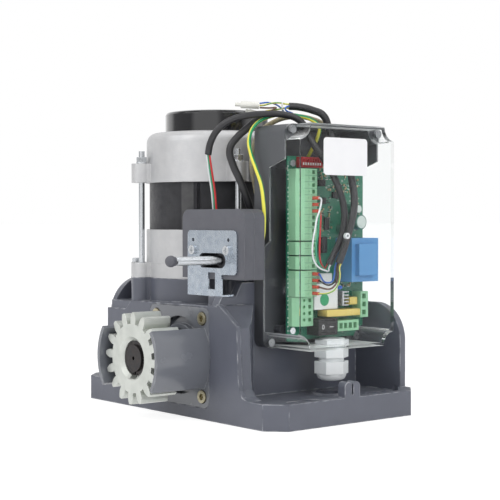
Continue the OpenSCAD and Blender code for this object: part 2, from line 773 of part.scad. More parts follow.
module base_housing() color([0.36, 0.37, 0.41]) difference() {
    union() {
        difference() {
            linear_extrude(foot_h) foot_outline(0);
            translate([0, 0, foot_h - rim_d]) linear_extrude(rim_d + over) foot_outline(rim_w);
        }
        deep_y(front_y, front_y + front_wall) front_outline();
        // Raised edge of the front wall, and the hollow flank behind it
        difference() {
            deep_y(front_y, front_y + ridge_w) front_outline(ridge_proud);
            block(left_x, right_x + over, front_y - over, front_y + ridge_w + over, 0, wall_z);
        }
        intersection() {
            deep_y(front_y, front_y + flank_y[3] + over) front_outline();
            translate([0, 0, foot_h / 2]) linear_extrude(wall_z) polygon([
                [right_x - right_wall, front_y + over], [web_x + flank_x[0], front_y + over],
                [web_x + flank_x[1], front_y + flank_y[0]], [web_x - flank_x[2], front_y + flank_y[1]],
                [right_x + flank_x[3], front_y + flank_y[2]], [right_x, front_y + flank_y[3]],
                [right_x - right_wall, front_y + flank_y[3]]
            ]);
        }
        block(left_x + left_wall, right_x, front_y + over, case_end_y, foot_h / 2, block_z);
        on_motor(foot_h / 2, seat_z - lug_h / 2, shield_d - drum_ease);
        seat_drum(seat_z - lug_h, seat_z);
        deep_x(left_x, left_x + left_wall) side_wall_outline();
        deep_x(right_x - right_wall, right_x) right_wall_outline();
        block(left_x, right_x, back_y - back_set - back_wall, back_y - back_set, foot_h / 2,
            wall_z - back_drop);
        deep_y(back_y - back_set - gusset_t, back_y - back_set) {
            polygon([
                [right_x - over, foot_h / 2], [gusset_x, foot_h / 2],
                [gusset_x, block_z - gusset_round], [gusset_x - gusset_round, block_z],
                [right_x - over, block_z]
            ]);
            translate([gusset_x - gusset_round, block_z - gusset_round])
                circle(r = gusset_round);
        }
        block(boss_x0, boss_x1, front_y + boss_set[0], front_y + boss_set[1], block_z - over,
            bracket_tab_z - bracket_t);
        cable_clip();
        cyl_z(cable_hole_x, cable_hole_y, foot_h / 2, foot_h - rim_d + cable_rim_h,
            cable_hole_d + 2 * cable_rim_w);
    }
    // Gear chamber, worm chamber and their bearing seats
    translate([shaft_x, front_y - over, shaft_z]) rotate([-90, 0, 0])
        linear_extrude(flange_t + over) round_rect(flange_side + gap, flange_side + gap, flange_round);
    on_shaft(front_y, rear_bearing_y, 2 * wheel_chamber_r);
    on_shaft(0, rear_bearing_y + rear_bearing_w, rear_bearing_d);
    on_motor(foot_bearing_z, seat_z + over, 2 * worm_chamber_r);
    on_motor(foot_bearing_z, foot_bearing_z + foot_bearing_w, foot_bearing_d);
    on_motor(seat_z - spigot_h - play, seat_z + over, spigot_d + gap);
    at_flange_screws() cyl_y(0, 0, front_y, front_y + flange_screw_len, flange_screw_d);
    for (a = rod_angles) at_motor(a, rod_circle_r)
        translate([0, 0, seat_z - rod_grip]) cylinder(h = rod_grip + over, d = rod_d);
    for (a = bolt_angles) at_motor(a, bolt_circle_r)
        translate([0, 0, seat_z - bolt_grip]) cylinder(h = bolt_grip + over, d = bolt_d);
    for (y = box_screw_ys, z = box_screw_zs)
        cyl_x(y, z, right_x - right_wall + box_hole_end, right_x + over, box_screw_d);
    anchor_slot(slot_mid_y - slot_gap / 2);
    anchor_slot(slot_mid_y + slot_gap / 2);
    cyl_z(cable_hole_x, cable_hole_y, -over, foot_h + over, cable_hole_d);
    cyl_z(slot_x + tap_at[0], tap_at[1], foot_h - rim_d - tap_depth, foot_h, tap_d);
    // Hollows of the underside, between its ribs
    for (sx = [-1, 1], sy = [-1, 1])
        block(sx * pocket_at[0] - pocket_len / 2, sx * pocket_at[0] + pocket_len / 2,
            sy * pocket_at[1] - pocket_wid / 2, sy * pocket_at[1] + pocket_wid / 2,
            -over, pocket_d);
    // Groove between the two lobes of the clip
    block(foot_len / 2 - clip_t - over, foot_len / 2 + over, -clip_groove / 2, clip_groove / 2,
        foot_h + clip_groove, foot_h + clip_h + over);
}

module guard_arc(side, r0, r1) intersection() {
    far = 2 * guard_in_r;
    difference() {
        circle(r = r1, $fn = fine);
        circle(r = r0, $fn = fine);
    }
    polygon([
        [0, 0], [side * far * cos(guard_half), -far * sin(guard_half)],
        [side * far, 0], [side * far * cos(guard_half), far * sin(guard_half)]
    ]);
}

module flange_guard() color([0.44, 0.45, 0.47]) difference() {
    union() {
        translate([shaft_x, front_y, shaft_z]) rotate([-90, 0, 0])
            linear_extrude(flange_t) round_rect(flange_side, flange_side, flange_round);
        on_shaft(front_y, front_bearing_y + front_bearing_w, flange_boss_d);
        for (side = [-1, 1]) translate([shaft_x, front_y, shaft_z]) rotate([90, 0, 0]) {
            linear_extrude(guard_len) guard_arc(side, guard_in_r, guard_in_r + guard_t);
            translate([0, 0, -over]) linear_extrude(guard_root_h + over)
                guard_arc(side, guard_in_r - guard_root_w, flange_side / 2);
        }
    }
    difference() {
        on_shaft(front_y - over, front_y + flange_recess, flange_recess_d);
        on_shaft(front_y - over, front_y + flange_recess, seal_d + seal_rim);
    }
    on_shaft(front_y - over, front_y + seal_w, seal_d);
    on_shaft(front_bearing_y, front_bearing_y + front_bearing_w + over, front_bearing_d);
    at_flange_screws() {
        cyl_y(0, 0, front_y - over, front_y + flange_t + over, flange_screw_d + gap);
        cyl_y(0, 0, front_y - over, front_y + flange_head_h - over, flange_head_d + over);
    }
}

module flange_screws() color([0.7, 0.68, 0.6]) at_flange_screws() difference() {
    union() {
        cyl_y(0, 0, front_y - over, front_y + flange_head_h - over, flange_head_d);
        cyl_y(0, 0, front_y, front_y + flange_screw_len - over, flange_screw_d);
    }
    translate([0, front_y + flange_key_l - over, 0]) rotate([90, 0, 0])
        cylinder(h = flange_head_h, d = flange_key_d, $fn = hex);
}

module drive_gear() color([0.72, 0.74, 0.72]) {
    pitch_r = rack_module * rack_teeth / 2;
    difference() {
        translate([shaft_x, gear_face_y, shaft_z]) rotate([-90, gear_turn, 0])
            linear_extrude(rack_face) polygon(gear_outline(rack_teeth, pitch_r,
                pitch_r - 1.25 * rack_module, pitch_r + rack_module, 90 / rack_teeth));
        on_shaft(gear_face_y - over, gear_face_y + rack_face + over, shaft_d);
        on_shaft(gear_face_y - over, gear_face_y + ring_seat_depth, ring_seat_d);
        turned_y(shaft_x, shaft_z) polygon([
            [0, gear_face_y - over], [ring_seat_d / 2 + gear_cut + over, gear_face_y - over],
            [ring_seat_d / 2 + gear_cut, gear_face_y], [ring_seat_d / 2, gear_face_y + gear_cut],
            [0, gear_face_y + gear_cut]
        ]);
        block(shaft_x - key_w / 2, shaft_x + key_w / 2, gear_face_y - over,
            gear_face_y + rack_face + over, shaft_z - shaft_d / 2 - key_h / 2, shaft_z);
    }
}

module retaining_ring() color([0.25, 0.25, 0.26]) {
    y1 = gear_face_y + ring_seat_depth;
    difference() {
        on_shaft(y1 - ring_t, y1, ring_d);
        on_shaft(y1 - ring_t - over, y1 + over, tip_d);
        block(shaft_x - ring_slit / 2, shaft_x + ring_slit / 2, y1 - ring_t - over, y1 + over,
            shaft_z - ring_seat_d, shaft_z);
        for (side = [-1, 1])
            cyl_y(shaft_x + side * ring_eye_at, shaft_z - (tip_d + ring_seat_d) / 4,
                y1 - ring_t - over, y1 + over, ring_eye_d);
    }
}

module drive_key() color([0.5, 0.5, 0.52])
    block(shaft_x - key_w / 2, shaft_x + key_w / 2, gear_face_y + ring_seat_depth + key_in,
        gear_face_y + ring_seat_depth + key_in + key_len, shaft_z - shaft_d / 2 - key_h / 2 + gap,
        shaft_z - shaft_d / 2 + key_h / 2);

module output_shaft() color([0.4, 0.4, 0.42]) {
    end_y = gear_face_y + ring_seat_depth - tip_out;
    seat_y = gear_face_y + ring_seat_depth;
    collar_y = front_bearing_y + front_bearing_w;
    hub_y = motor_y - wheel_hub_w / 2;
    difference() {
        turned_y(shaft_x, shaft_z) polygon([
            [0, end_y], [tip_d / 2, end_y], [tip_d / 2, seat_y],
            [shaft_d / 2, seat_y], [shaft_d / 2, collar_y], [collar_d / 2, collar_y],
            [collar_d / 2, hub_y], [wheel_seat_d / 2, hub_y],
            [wheel_seat_d / 2, motor_y + wheel_hub_w / 2],
            [rear_journal_d / 2, motor_y + wheel_hub_w / 2],
            [rear_journal_d / 2, rear_bearing_y + rear_bearing_w - play],
            [0, rear_bearing_y + rear_bearing_w - play]
        ]);
        on_shaft(end_y - over, end_y + centre_l, centre_d);
        block(shaft_x - key_w / 2, shaft_x + key_w / 2, seat_y + key_in, seat_y + key_in + key_len,
            shaft_z - shaft_d, shaft_z - shaft_d / 2 + key_h / 2);
    }
}

module ring_bearing_y(y0, w, bore, outer) color([0.75, 0.75, 0.76]) difference() {
    on_shaft(y0, y0 + w, outer);
    on_shaft(y0 - over, y0 + w + over, bore + 2 * fit);
}

module ring_bearing_z(z0, w, bore, outer) color([0.75, 0.75, 0.76]) difference() {
    on_motor(z0, z0 + w, outer);
    on_motor(z0 - over, z0 + w + over, bore + 2 * fit);
}

module front_bearing()
    ring_bearing_y(front_bearing_y, front_bearing_w - gap, shaft_d, front_bearing_d);

module rear_bearing()
    ring_bearing_y(rear_bearing_y, rear_bearing_w, rear_journal_d, rear_bearing_d);

module foot_bearing()
    ring_bearing_z(foot_bearing_z, foot_bearing_w, worm_bore_d, foot_bearing_d);

module lower_motor_bearing()
    ring_bearing_z(low_bearing_z, motor_bearing_w, journal_d, motor_bearing_d);

module upper_motor_bearing()
    ring_bearing_z(top_bearing_z, motor_bearing_w, journal_d, motor_bearing_d);

module oil_seal() color([0.15, 0.12, 0.1]) difference() {
    on_shaft(front_y, front_y + seal_w, seal_d);
    on_shaft(front_y - over, front_y + seal_w + over, shaft_d + 2 * fit);
    difference() {
        on_shaft(front_y - over, front_y + seal_lip[1], seal_d - 2 * seal_lip[0]);
        on_shaft(front_y - over, front_y + seal_lip[1], shaft_d + 2 * seal_lip[0]);
    }
}

module worm_wheel() color([0.72, 0.55, 0.28]) difference() {
    union() {
        translate([shaft_x, motor_y - wheel_w / 2, shaft_z]) rotate([-90, 0, 0])
            linear_extrude(wheel_w) polygon(gear_outline(wheel_teeth, wheel_pd / 2,
                wheel_root_r, wheel_tip_r, wheel_tooth_t / wheel_pd * 180 / PI));
        on_shaft(motor_y - wheel_hub_w / 2, motor_y + wheel_hub_w / 2 - over, wheel_hub_d);
    }
    on_shaft(motor_y - wheel_hub_w, motor_y + wheel_hub_w, wheel_seat_d);
}

// Cross-section of the worm: radius follows the thread's height at each angle
function thread_angle(r) =
    180 * (worm_thread_t + 2 * (worm_pd / 2 - r) * tan(20)) / worm_lead;
worm_steps = 4;
worm_bore_sides = 12;

module worm_section(mid_angle) difference() {
    polygon([
        for (side = [-1, 1], k = [0:worm_steps])
            let (
                share = side < 0 ? k / worm_steps : 1 - k / worm_steps,
                r = worm_root_r + share * (worm_tip_r - worm_root_r),
                a = mid_angle + side * thread_angle(r)
            )
            [r * cos(a), r * sin(a)],
        for (k = [1:3])
            let (
                root_half = thread_angle(worm_root_r),
                a = mid_angle + root_half + (360 - 2 * root_half) * k / 4
            )
            [worm_root_r * cos(a), worm_root_r * sin(a)]
    ]);
    circle(r = (worm_bore_d / 2 + fit) / cos(180 / worm_bore_sides), $fn = worm_bore_sides);
}

module worm() color([0.62, 0.62, 0.64])
    translate([motor_x, motor_y, shaft_z - worm_len / 2])
        linear_extrude(worm_len, twist = -360 * worm_len / worm_lead,
            slices = round(12 * worm_len / worm_lead), convexity = 8, $fn = worm_bore_sides)
            worm_section(-180 * (worm_len + worm_lead) / worm_lead);

module worm_shaft() color([0.66, 0.66, 0.68]) {
    shoulder_z = shaft_z + worm_len / 2;
    translate([motor_x, motor_y, 0]) rotate_extrude() polygon([
        [0, foot_bearing_z + gap], [worm_bore_d / 2, foot_bearing_z + gap],
        [worm_bore_d / 2, shoulder_z], [journal_d / 2, shoulder_z],
        [journal_d / 2, low_bearing_z + motor_bearing_w],
        [rotor_seat_d / 2, low_bearing_z + motor_bearing_w],
        [rotor_seat_d / 2, top_bearing_z], [journal_d / 2, top_bearing_z],
        [journal_d / 2, top_bearing_z + motor_bearing_w - play],
        [0, top_bearing_z + motor_bearing_w - play]
    ]);
}

module rotor_core() color([0.5, 0.5, 0.52]) difference() {
    on_motor(stack_z - rotor_over, top_shield_z + rotor_over, rotor_d);
    on_motor(stack_z - 2 * rotor_over, top_shield_z + 2 * rotor_over, rotor_seat_d);
}

module stator_core() color([0.17, 0.17, 0.18]) difference() {
    on_motor(stack_z, top_shield_z, stack_d);
    on_motor(stack_z - over, top_shield_z + over, rotor_d + 2 * air_gap);
    // Shallow grooves for the weld seams of the stack
    for (a = rod_angles)
        at_motor(a + seam_turn, stack_d / 2) translate([0, 0, stack_z - over])
            cylinder(h = stack_h + 2 * over, d = seam_d);
}

module winding_ring(z0) translate([motor_x, motor_y, z0]) rotate_extrude() polygon([
    [winding_in_r, 0], [winding_out_r, 0], [winding_out_r, winding_h * 0.6],
    [winding_out_r - winding_ease, winding_h], [winding_in_r + winding_ease, winding_h],
    [winding_in_r, winding_h * 0.6]
]);

module stator_windings() color([0.6, 0.3, 0.15]) {
    winding_ring(top_shield_z);
    translate([0, 0, 2 * stack_z]) mirror([0, 0, 1]) winding_ring(stack_z);
}

module ear_holes(angles, circle_r, z0, z1, d)
    for (a = angles) at_motor(a, circle_r) translate([0, 0, z0]) cylinder(h = z1 - z0, d = d);
module lead_hole(z, angle)
    translate([motor_x, motor_y, z]) rotate([0, 90, angle])
        translate([0, 0, shield_d / 2 - 2 * shield_wall])
            cylinder(h = 4 * shield_wall, d = lead_hole_d);

module lower_shield() color([0.74, 0.74, 0.73]) difference() {
    union() {
        on_motor(seat_z, stack_z, shield_d - shield_ease);
        seat_drum(seat_z, seat_z + ear_low_h);
        on_motor(seat_z - spigot_h, seat_z, spigot_d);
    }
    difference() {
        on_motor(seat_z + shield_floor, stack_z + over, shield_d - 2 * shield_wall);
        on_motor(seat_z, low_bearing_z + motor_bearing_w, motor_bearing_d + bearing_rim);
    }
    on_motor(low_bearing_z, low_bearing_z + motor_bearing_w + over, motor_bearing_d);
    on_motor(0, stack_z, journal_d + journal_room);
    ear_holes(rod_angles, rod_circle_r, seat_z - over, seat_z + ear_low_h + over, rod_d + gap);
    ear_holes(bolt_angles, bolt_circle_r, seat_z - over, seat_z + ear_low_h + over, bolt_d + gap);
    lead_hole(motor_lead_z, motor_lead_angle);
    lead_hole(sleeve_z, sleeve_angle);
}

module upper_shield() color([0.74, 0.74, 0.73]) difference() {
    r = shield_d / 2;
    union() {
        translate([motor_x, motor_y, 0]) rotate_extrude() polygon(concat(
            [[0, top_shield_z], [r, top_shield_z], [r - shield_ease, motor_top_z - shield_round]],
            [for (a = [15:15:75])
                [r - shield_ease - shield_round * (1 - cos(a)), motor_top_z - shield_round * (1 - sin(a))]],
            [[r - shield_ease - shield_round, motor_top_z], [0, motor_top_z]]
        ));
        translate([motor_x, motor_y, top_shield_z]) linear_extrude(ear_top_h) rod_lugs();
    }
    difference() {
        on_motor(top_shield_z - over, motor_top_z - shield_floor, shield_d - 2 * shield_wall);
        on_motor(top_bearing_z, motor_top_z, motor_bearing_d + bearing_rim);
    }
    on_motor(top_bearing_z - over, top_bearing_z + motor_bearing_w, motor_bearing_d);
    ear_holes(rod_angles, rod_circle_r, top_shield_z - over, top_shield_z + ear_top_h + over,
        rod_d + gap);
    for (a = cap_angles)
        at_motor(a, cap_screw_r) translate([0, 0, motor_top_z - shield_floor + over])
            cylinder(h = shield_floor, d = cap_screw_d);
}

module top_cap() color([0.2, 0.2, 0.22]) difference() {
    r = cap_d / 2;
    top = motor_top_z + cap_h;
    translate([motor_x, motor_y, 0]) rotate_extrude() polygon(concat(
        [[0, motor_top_z], [r, motor_top_z]], [for (c = cap_edge) [r - c[0], top - c[1]]],
        [[0, top]]
    ));
    difference() {
        on_motor(motor_top_z - over, top - cap_wall, cap_d - 2 * cap_wall);
        for (a = cap_angles)
            at_motor(a, cap_screw_r) cylinder(h = top, d = cap_post_d);
    }
    for (a = cap_angles)
        at_motor(a, cap_screw_r) translate([0, 0, motor_top_z - over])
            cylinder(h = cap_h + 2 * over, d = cap_screw_d + gap);
}

module top_cap_screws() color([0.8, 0.8, 0.8])
    for (a = cap_angles) at_motor(a, cap_screw_r) {
        translate([0, 0, motor_top_z - cap_screw_in])
            cylinder(h = cap_h + cap_screw_in, d = cap_screw_d);
        translate([0, 0, motor_top_z + cap_h]) cylinder(h = cap_head_h, d = cap_head_d);
    }

module tie_rods() color([0.75, 0.76, 0.77])
    for (a = rod_angles) at_motor(a, rod_circle_r)
        translate([0, 0, seat_z - rod_grip + gap]) cylinder(
            h = rod_grip - gap + low_shield_h + stack_h + ear_top_h + washer_h + nut_h + rod_over,
            d = rod_d);

module tie_rod_nuts() color([0.8, 0.81, 0.82])
    for (a = rod_angles) at_motor(a, rod_circle_r)
        translate([0, 0, top_shield_z + ear_top_h]) difference() {
            union() {
                cylinder(h = washer_h, d = washer_d);
                translate([0, 0, washer_h]) rotate([0, 0, nut_turn])
                    cylinder(h = nut_h, d = nut_w / cos(30), $fn = hex);
            }
            translate([0, 0, -over]) cylinder(h = nut_h + washer_h + 2 * over, d = rod_d);
        }

module shield_bolts() color([0.75, 0.76, 0.77])
    for (a = bolt_angles) at_motor(a, bolt_circle_r)
        translate([0, 0, seat_z + ear_low_h]) {
            cylinder(h = bolt_head_h, d = bolt_head_w / cos(30), $fn = hex);
            translate([0, 0, gap - ear_low_h - bolt_grip])
                cylinder(h = ear_low_h + bolt_grip, d = bolt_d);
        }

module run_capacitor() color([0.85, 0.85, 0.86]) {
    cyl_z(capacitor_x, capacitor_y, foot_h - rim_d, foot_h - rim_d + capacitor_h, capacitor_d);
    for (side = [-1, 1])
        block(capacitor_x + side * tag_at - tag_size[0] / 2,
            capacitor_x + side * tag_at + tag_size[0] / 2,
            capacitor_y - tag_size[1] / 2, capacitor_y + tag_size[1] / 2,
            foot_h - rim_d + capacitor_h, foot_h - rim_d + capacitor_h + tag_size[2]);
}

module case_outline(inset) {
    w = case_wid - 2 * inset;
    h = case_h - 2 * inset;
    r = case_round - inset;
    translate([(case_x0 + case_x1) / 2, case_z0 + case_h / 2]) {
        round_rect(w, h, r);
        translate([-w / 2, -h / 2]) square([w, r]);
    }
}

module rod_slot(y0, y1, grow) {
    half = (rod_slot_len - rod_slot_w) / 2;
    for (side = [-1, 1])
        cyl_y(case_mid_x + side * half, rod_z, y0, y1, rod_slot_w + grow);
    block(case_mid_x - half, case_mid_x + half, y0, y1,
        rod_z - (rod_slot_w + grow) / 2, rod_z + (rod_slot_w + grow) / 2);
}

module limit_case_front() color([0.37, 0.37, 0.4]) difference() {
    deep_y(case_front_y, case_split_y) case_outline(0);
    difference() {
        deep_y(case_front_y + case_wall, case_split_y + over) case_outline(case_wall);
        at_limit_screws() cyl_y(0, 0, case_front_y, case_split_y, limit_screw_d + 2 * post_wall);
    }
    rod_slot(case_front_y - over, case_front_y + case_wall + over, over);
    at_limit_screws()
        cyl_y(0, 0, case_front_y - over, case_split_y + over, limit_screw_d + gap);
}

module limit_case_rear() color([0.35, 0.35, 0.38]) difference() {
    union() {
        difference() {
            deep_y(case_split_y, case_back_y) case_outline(0);
            deep_y(case_split_y - over, case_back_y - case_wall) case_outline(case_wall);
            // The corner beside the motor is cut away and closed by a slanting wall
            translate([0, 0, case_z0 - over]) linear_extrude(case_h + 2 * over) polygon([
                [case_x0 - over, case_split_y + tuck_ease], [case_x0 + case_tuck_x, case_back_y + over],
                [case_x0 - over, case_back_y + over]
            ]);
        }
        intersection() {
            deep_y(case_split_y, case_back_y) case_outline(0);
            translate([0, 0, case_z0 - over]) linear_extrude(case_h + 2 * over) polygon([
                [case_x0, case_split_y], [case_x0 + case_tuck_x, case_back_y],
                [case_x0 + case_tuck_x + tuck_w[1], case_back_y], [case_x0 + tuck_w[0], case_split_y]
            ]);
        }
        at_limit_screws()
            cyl_y(0, 0, case_split_y, case_back_y - over, limit_screw_d + 2 * post_wall);
        // Shelves that hold the lever's pin
        for (z = [rod_z - lever_hub_h / 2 - play - shelf_h, rod_z + lever_hub_h / 2 + play])
            block(case_mid_x - shelf_half, case_mid_x + shelf_half, lever_y - shelf_in,
                case_back_y - over, z, z + shelf_h);
    }
    at_limit_screws()
        cyl_y(0, 0, case_split_y - over, case_back_y - limit_screw_end[0], limit_screw_d);
    cyl_z(case_mid_x, lever_y, rod_z - lever_hub_h / 2 - shelf_h - over,
        rod_z + lever_hub_h / 2 + shelf_h + over, lever_pin_d + 2 * fit);
    for (i = core_spread)
        cyl_z(core_route[3][0] + i, core_route[3][1], core_top_z - case_wall - over,
            core_top_z + over, core_hole_d);
}

module limit_bracket() color([0.62, 0.66, 0.7]) {
    y1 = case_front_y;
    y0 = case_front_y - bracket_t;
    mid = (bracket_x0 + bracket_x1) / 2;
    difference() {
        union() {
            deep_y(y0, y1) translate([mid, (bracket_z0 + bracket_z1) / 2])
                round_rect(bracket_x1 - bracket_x0, bracket_z1 - bracket_z0, bracket_round);
            block(bracket_x0, bracket_tab_x1, y0, y1, bracket_tab_z - bracket_t,
                case_z0 + bracket_rise[2]);
            block(boss_x0 - bracket_lip[0], boss_x1 + bracket_lip[1], y0, y1 + bracket_foot,
                bracket_tab_z - bracket_t, bracket_tab_z);
        }
        rod_slot(y0 - over, y1 + over, 0);
        block(case_mid_x + window_at[0], case_mid_x + window_at[0] + window_size[0], y0 - over,
            y1 + over, pad_z + window_at[1], pad_z + window_at[1] + window_size[1]);
        at_limit_screws() cyl_y(0, 0, y0 - over, y1 + over, limit_screw_d + gap);
        for (x = small_hole_x) cyl_y(x, small_hole_z, y0 - over, y1 + over, small_hole_d);
    }
}

module limit_screws() color([0.8, 0.82, 0.84]) {
    y0 = case_front_y - bracket_t;
    head_y = y0 - limit_head_h;
    at_limit_screws() difference() {
        union() {
            cyl_y(0, 0, head_y, y0, limit_head_d);
            cyl_y(0, 0, y0 - play, case_back_y - limit_screw_end[1], limit_screw_d);
        }
        for (turn = [0, 90])
            rotate([0, turn, 0]) block(-limit_cross[0], limit_cross[0], head_y - over,
                head_y + limit_cross[2], -limit_cross[1], limit_cross[1]);
    }
}

module limit_lever() color([0.3, 0.3, 0.32]) {
    cyl_z(case_mid_x, lever_y, rod_z - lever_hub_h / 2, rod_z + lever_hub_h / 2,
        2 * lever_hub_r);
    cyl_z(case_mid_x, lever_y, rod_z - lever_hub_h / 2 - lever_pin_out,
        rod_z + lever_hub_h / 2 + lever_pin_out, lever_pin_d);
    block(case_mid_x - lever_arm[0], case_mid_x + lever_arm[0], lever_y - lever_arm[1],
        lever_y + lever_arm[1], rod_z - lever_arm[2], rod_z + lever_arm[2]);
    cyl_y(case_mid_x, rod_z, case_front_y - bracket_t - rod_reach + lever_core_in, lever_y,
        lever_core_d);
}

spring_y0 = case_front_y - bracket_t - rod_reach;
spring_y1 = lever_y - lever_hub_r - gap;
spring_turns = floor((spring_y1 - spring_y0) / spring_wire);

coil_form = [[0.35, 1], [0.05, 0.7], [0.05, 0.3], [0.35, 0]];

module lever_spring() color([0.85, 0.85, 0.84])
    translate([case_mid_x, spring_y1, rod_z]) rotate([90, 0, 0]) rotate_extrude()
        polygon(concat(
            [[lever_core_d / 2 + fit, 0], [lever_core_d / 2 + fit, spring_turns * spring_wire]],
            [for (i = [spring_turns - 1:-1:0], c = coil_form)
                [spring_d / 2 - c[0], (i + c[1]) * spring_wire]]
        ));

module lever_tip() color([0.42, 0.42, 0.45]) {
    y = spring_y1 - spring_turns * spring_wire;
    r = tip_ball_d / 2;
    ball_y = y - r + tip_sink;
    turned_y(case_mid_x, rod_z) polygon(concat(
        [[0, y - tip_plug], [0, ball_y - r]],
        [for (a = [75:-15:-45]) [r * cos(a), ball_y - r * sin(a)]],
        [[spring_d / 2, y], [lever_core_d / 2, y], [lever_core_d / 2, y - tip_plug]]
    ));
}

module limit_switches() color([0.12, 0.12, 0.13])
    for (side = [-1, 1]) {
        x = case_mid_x + side * (lever_hub_r + switch_out + switch_size[0] / 2);
        difference() {
            block(x - switch_size[0] / 2, x + switch_size[0] / 2,
                case_front_y + case_wall, case_front_y + case_wall + switch_size[1],
                case_z0 + case_wall, case_z0 + case_wall + switch_size[2]);
            for (k = [-1, 1])
                cyl_y(x + k * switch_hole[0], case_z0 + case_wall + switch_hole[1], case_front_y,
                    case_split_y, switch_hole[2]);
        }
    }

module split_side(x_far, z0, z1) polygon([
    [x_far, z0], [split_low_x, z0], [split_low_x, split_low_z], [split_mid_x, split_mid_z],
    [split_mid_x, split_high_z], [split_top_x, split_top_z], [split_top_x, z1], [x_far, z1]
]);

module box_outline(inset) translate([box_mid_y, box_mid_z])
    round_rect(box_wid - 2 * inset, box_high - 2 * inset, box_round - inset);

module at_corners(inset)
    for (sy = [-1, 1], sz = [-1, 1])
        translate([0, box_mid_y + sy * (box_wid / 2 - inset),
            box_mid_z + sz * (box_high / 2 - inset)]) children();

module box_base() color([0.33, 0.34, 0.35]) difference() {
    intersection() {
        difference() {
            deep_x(box_x0, box_x1) box_outline(0);
            difference() {
                deep_x(box_x0 + shell_wall, box_x1 + over) box_outline(shell_wall);
                at_corners(0) rotate([0, 90, 0]) cylinder(h = box_x1, r = notch_r + notch_wall);
                for (y = board_screw_ys, z = board_screw_zs)
                    cyl_x(y, z, box_x0, board_x, standoff_d);
            }
        }
        translate([0, box_y1 + over, 0]) rotate([90, 0, 0])
            linear_extrude(box_wid + 2 * over) split_side(box_x0 - over, box_z0 - over, box_z1 + over);
    }
    at_corners(lug_inset) for (x = [split_low_x - lug_grip[0], split_top_x - lug_grip[1]])
        translate([x, 0, 0]) rotate([0, 90, 0]) cylinder(h = lug_grip[2], d = cover_screw_d);
    for (y = board_screw_ys, z = board_screw_zs)
        cyl_x(y, z, board_x - board_hole[1], board_x + over, board_hole[0]);
    for (y = box_screw_ys, z = box_screw_zs)
        cyl_x(y, z, box_x0 - over, box_x0 + shell_wall + over, box_screw_d + gap);
    block(entry_x0, entry_x1, entry_y0, entry_y1, box_z1 - shell_wall - over, box_z1 + over);
}

module box_cover() color([0.85, 0.9, 0.92, 0.35]) difference() {
    difference() {
        deep_x(box_x0, box_x1) box_outline(0);
        difference() {
            deep_x(box_x0 - over, box_x1 - clear_wall) box_outline(clear_wall);
            at_corners(0) rotate([0, 90, 0]) cylinder(h = box_x1, r = notch_r + notch_wall);
        }
    }
    translate([0, box_y1 + over, 0]) rotate([90, 0, 0])
        linear_extrude(box_wid + 2 * over) translate([split_fit, 0])
            split_side(box_x0 - notch_r, box_z0 - notch_r, box_z1 + notch_r);
    // Open corners that give way to the screws
    for (sy = [-1, 1]) {
        translate([split_low_x + lug_t, box_mid_y + sy * box_wid / 2, box_z0])
            rotate([0, 90, 0]) cylinder(h = box_depth, r = notch_r);
        translate([split_top_x + lug_t, box_mid_y + sy * box_wid / 2, box_z1])
            rotate([0, 90, 0]) cylinder(h = box_depth, r = notch_r);
    }
    at_corners(lug_inset) translate([box_x0, 0, 0]) rotate([0, 90, 0])
        cylinder(h = box_depth, d = cover_screw_d + gap);
    on_gland(box_z0 - over, box_z0 + clear_wall + over, gland_thread_d + gap);
}

module cover_screws() color([0.55, 0.56, 0.58])
    for (sy = [-1, 1], sz = [-1, 1]) {
        x = (sz < 0 ? split_low_x : split_top_x) + lug_t;
        translate([x, box_mid_y + sy * (box_wid / 2 - lug_inset),
            box_mid_z + sz * (box_high / 2 - lug_inset)]) rotate([0, 90, 0]) {
            cylinder(h = cover_head_h, d = cover_head_d);
            translate([0, 0, -lug_t - cover_screw_in])
                cylinder(h = lug_t + cover_screw_in + play, d = cover_screw_d);
        }
    }

module box_screws() color([0.7, 0.71, 0.72])
    for (y = box_screw_ys, z = box_screw_zs) {
        cyl_x(y, z, box_x0 + shell_wall, box_x0 + shell_wall + box_head_h, box_head_d);
        cyl_x(y, z, box_x0 - right_wall + box_screw_end, box_x0 + shell_wall + over, box_screw_d);
    }

module circuit_board() color([0.12, 0.42, 0.32]) difference() {
    block(board_x, board_top, board_y0, board_y1, board_z0, board_z1);
    for (y = board_screw_ys, z = board_screw_zs)
        cyl_x(y, z, board_x - over, board_top + over, board_screw_d + gap);
    cyl_x(box_y1, box_z0, board_x - over, board_top + over, 2 * board_cut_r);
}

module board_screws() color([0.75, 0.76, 0.77])
    for (y = board_screw_ys, z = board_screw_zs) {
        cyl_x(y, z, board_top, board_top + board_head[1], board_head[0]);
        cyl_x(y, z, board_x - board_head[2], board_top + over, board_hole[0]);
    }

// A body on the board: its shares of the board's width and height, and its rise
module on_board(body, rise, start = 0)
    block(board_top + start, board_top + rise, on_y(body[0][0]), on_y(body[0][1]),
        on_z(body[1][0]), on_z(body[1][1]));

function part_of(span, share) = span[0] + share * (span[1] - span[0]);
function part_body(body, shares) = [
    for (k = [0, 1]) [part_of(body[k], shares[k][0]), part_of(body[k], shares[k][1])]
];

module with_sockets(body, rise, sockets, depth) difference() {
    on_board(body, rise);
    for (s = sockets) on_board(part_body(body, s), rise + over, rise - depth);
}

module terminal_way(z, rise) {
    block(board_top + rise - way_depth, board_top + rise + over,
        way_y - way_side / 2, way_y + way_side / 2, z - way_side / 2, z + way_side / 2);
    cyl_x(way_y - way_screw[0], z, board_top + rise - way_screw[1], board_top + rise + over,
        way_screw[2]);
}

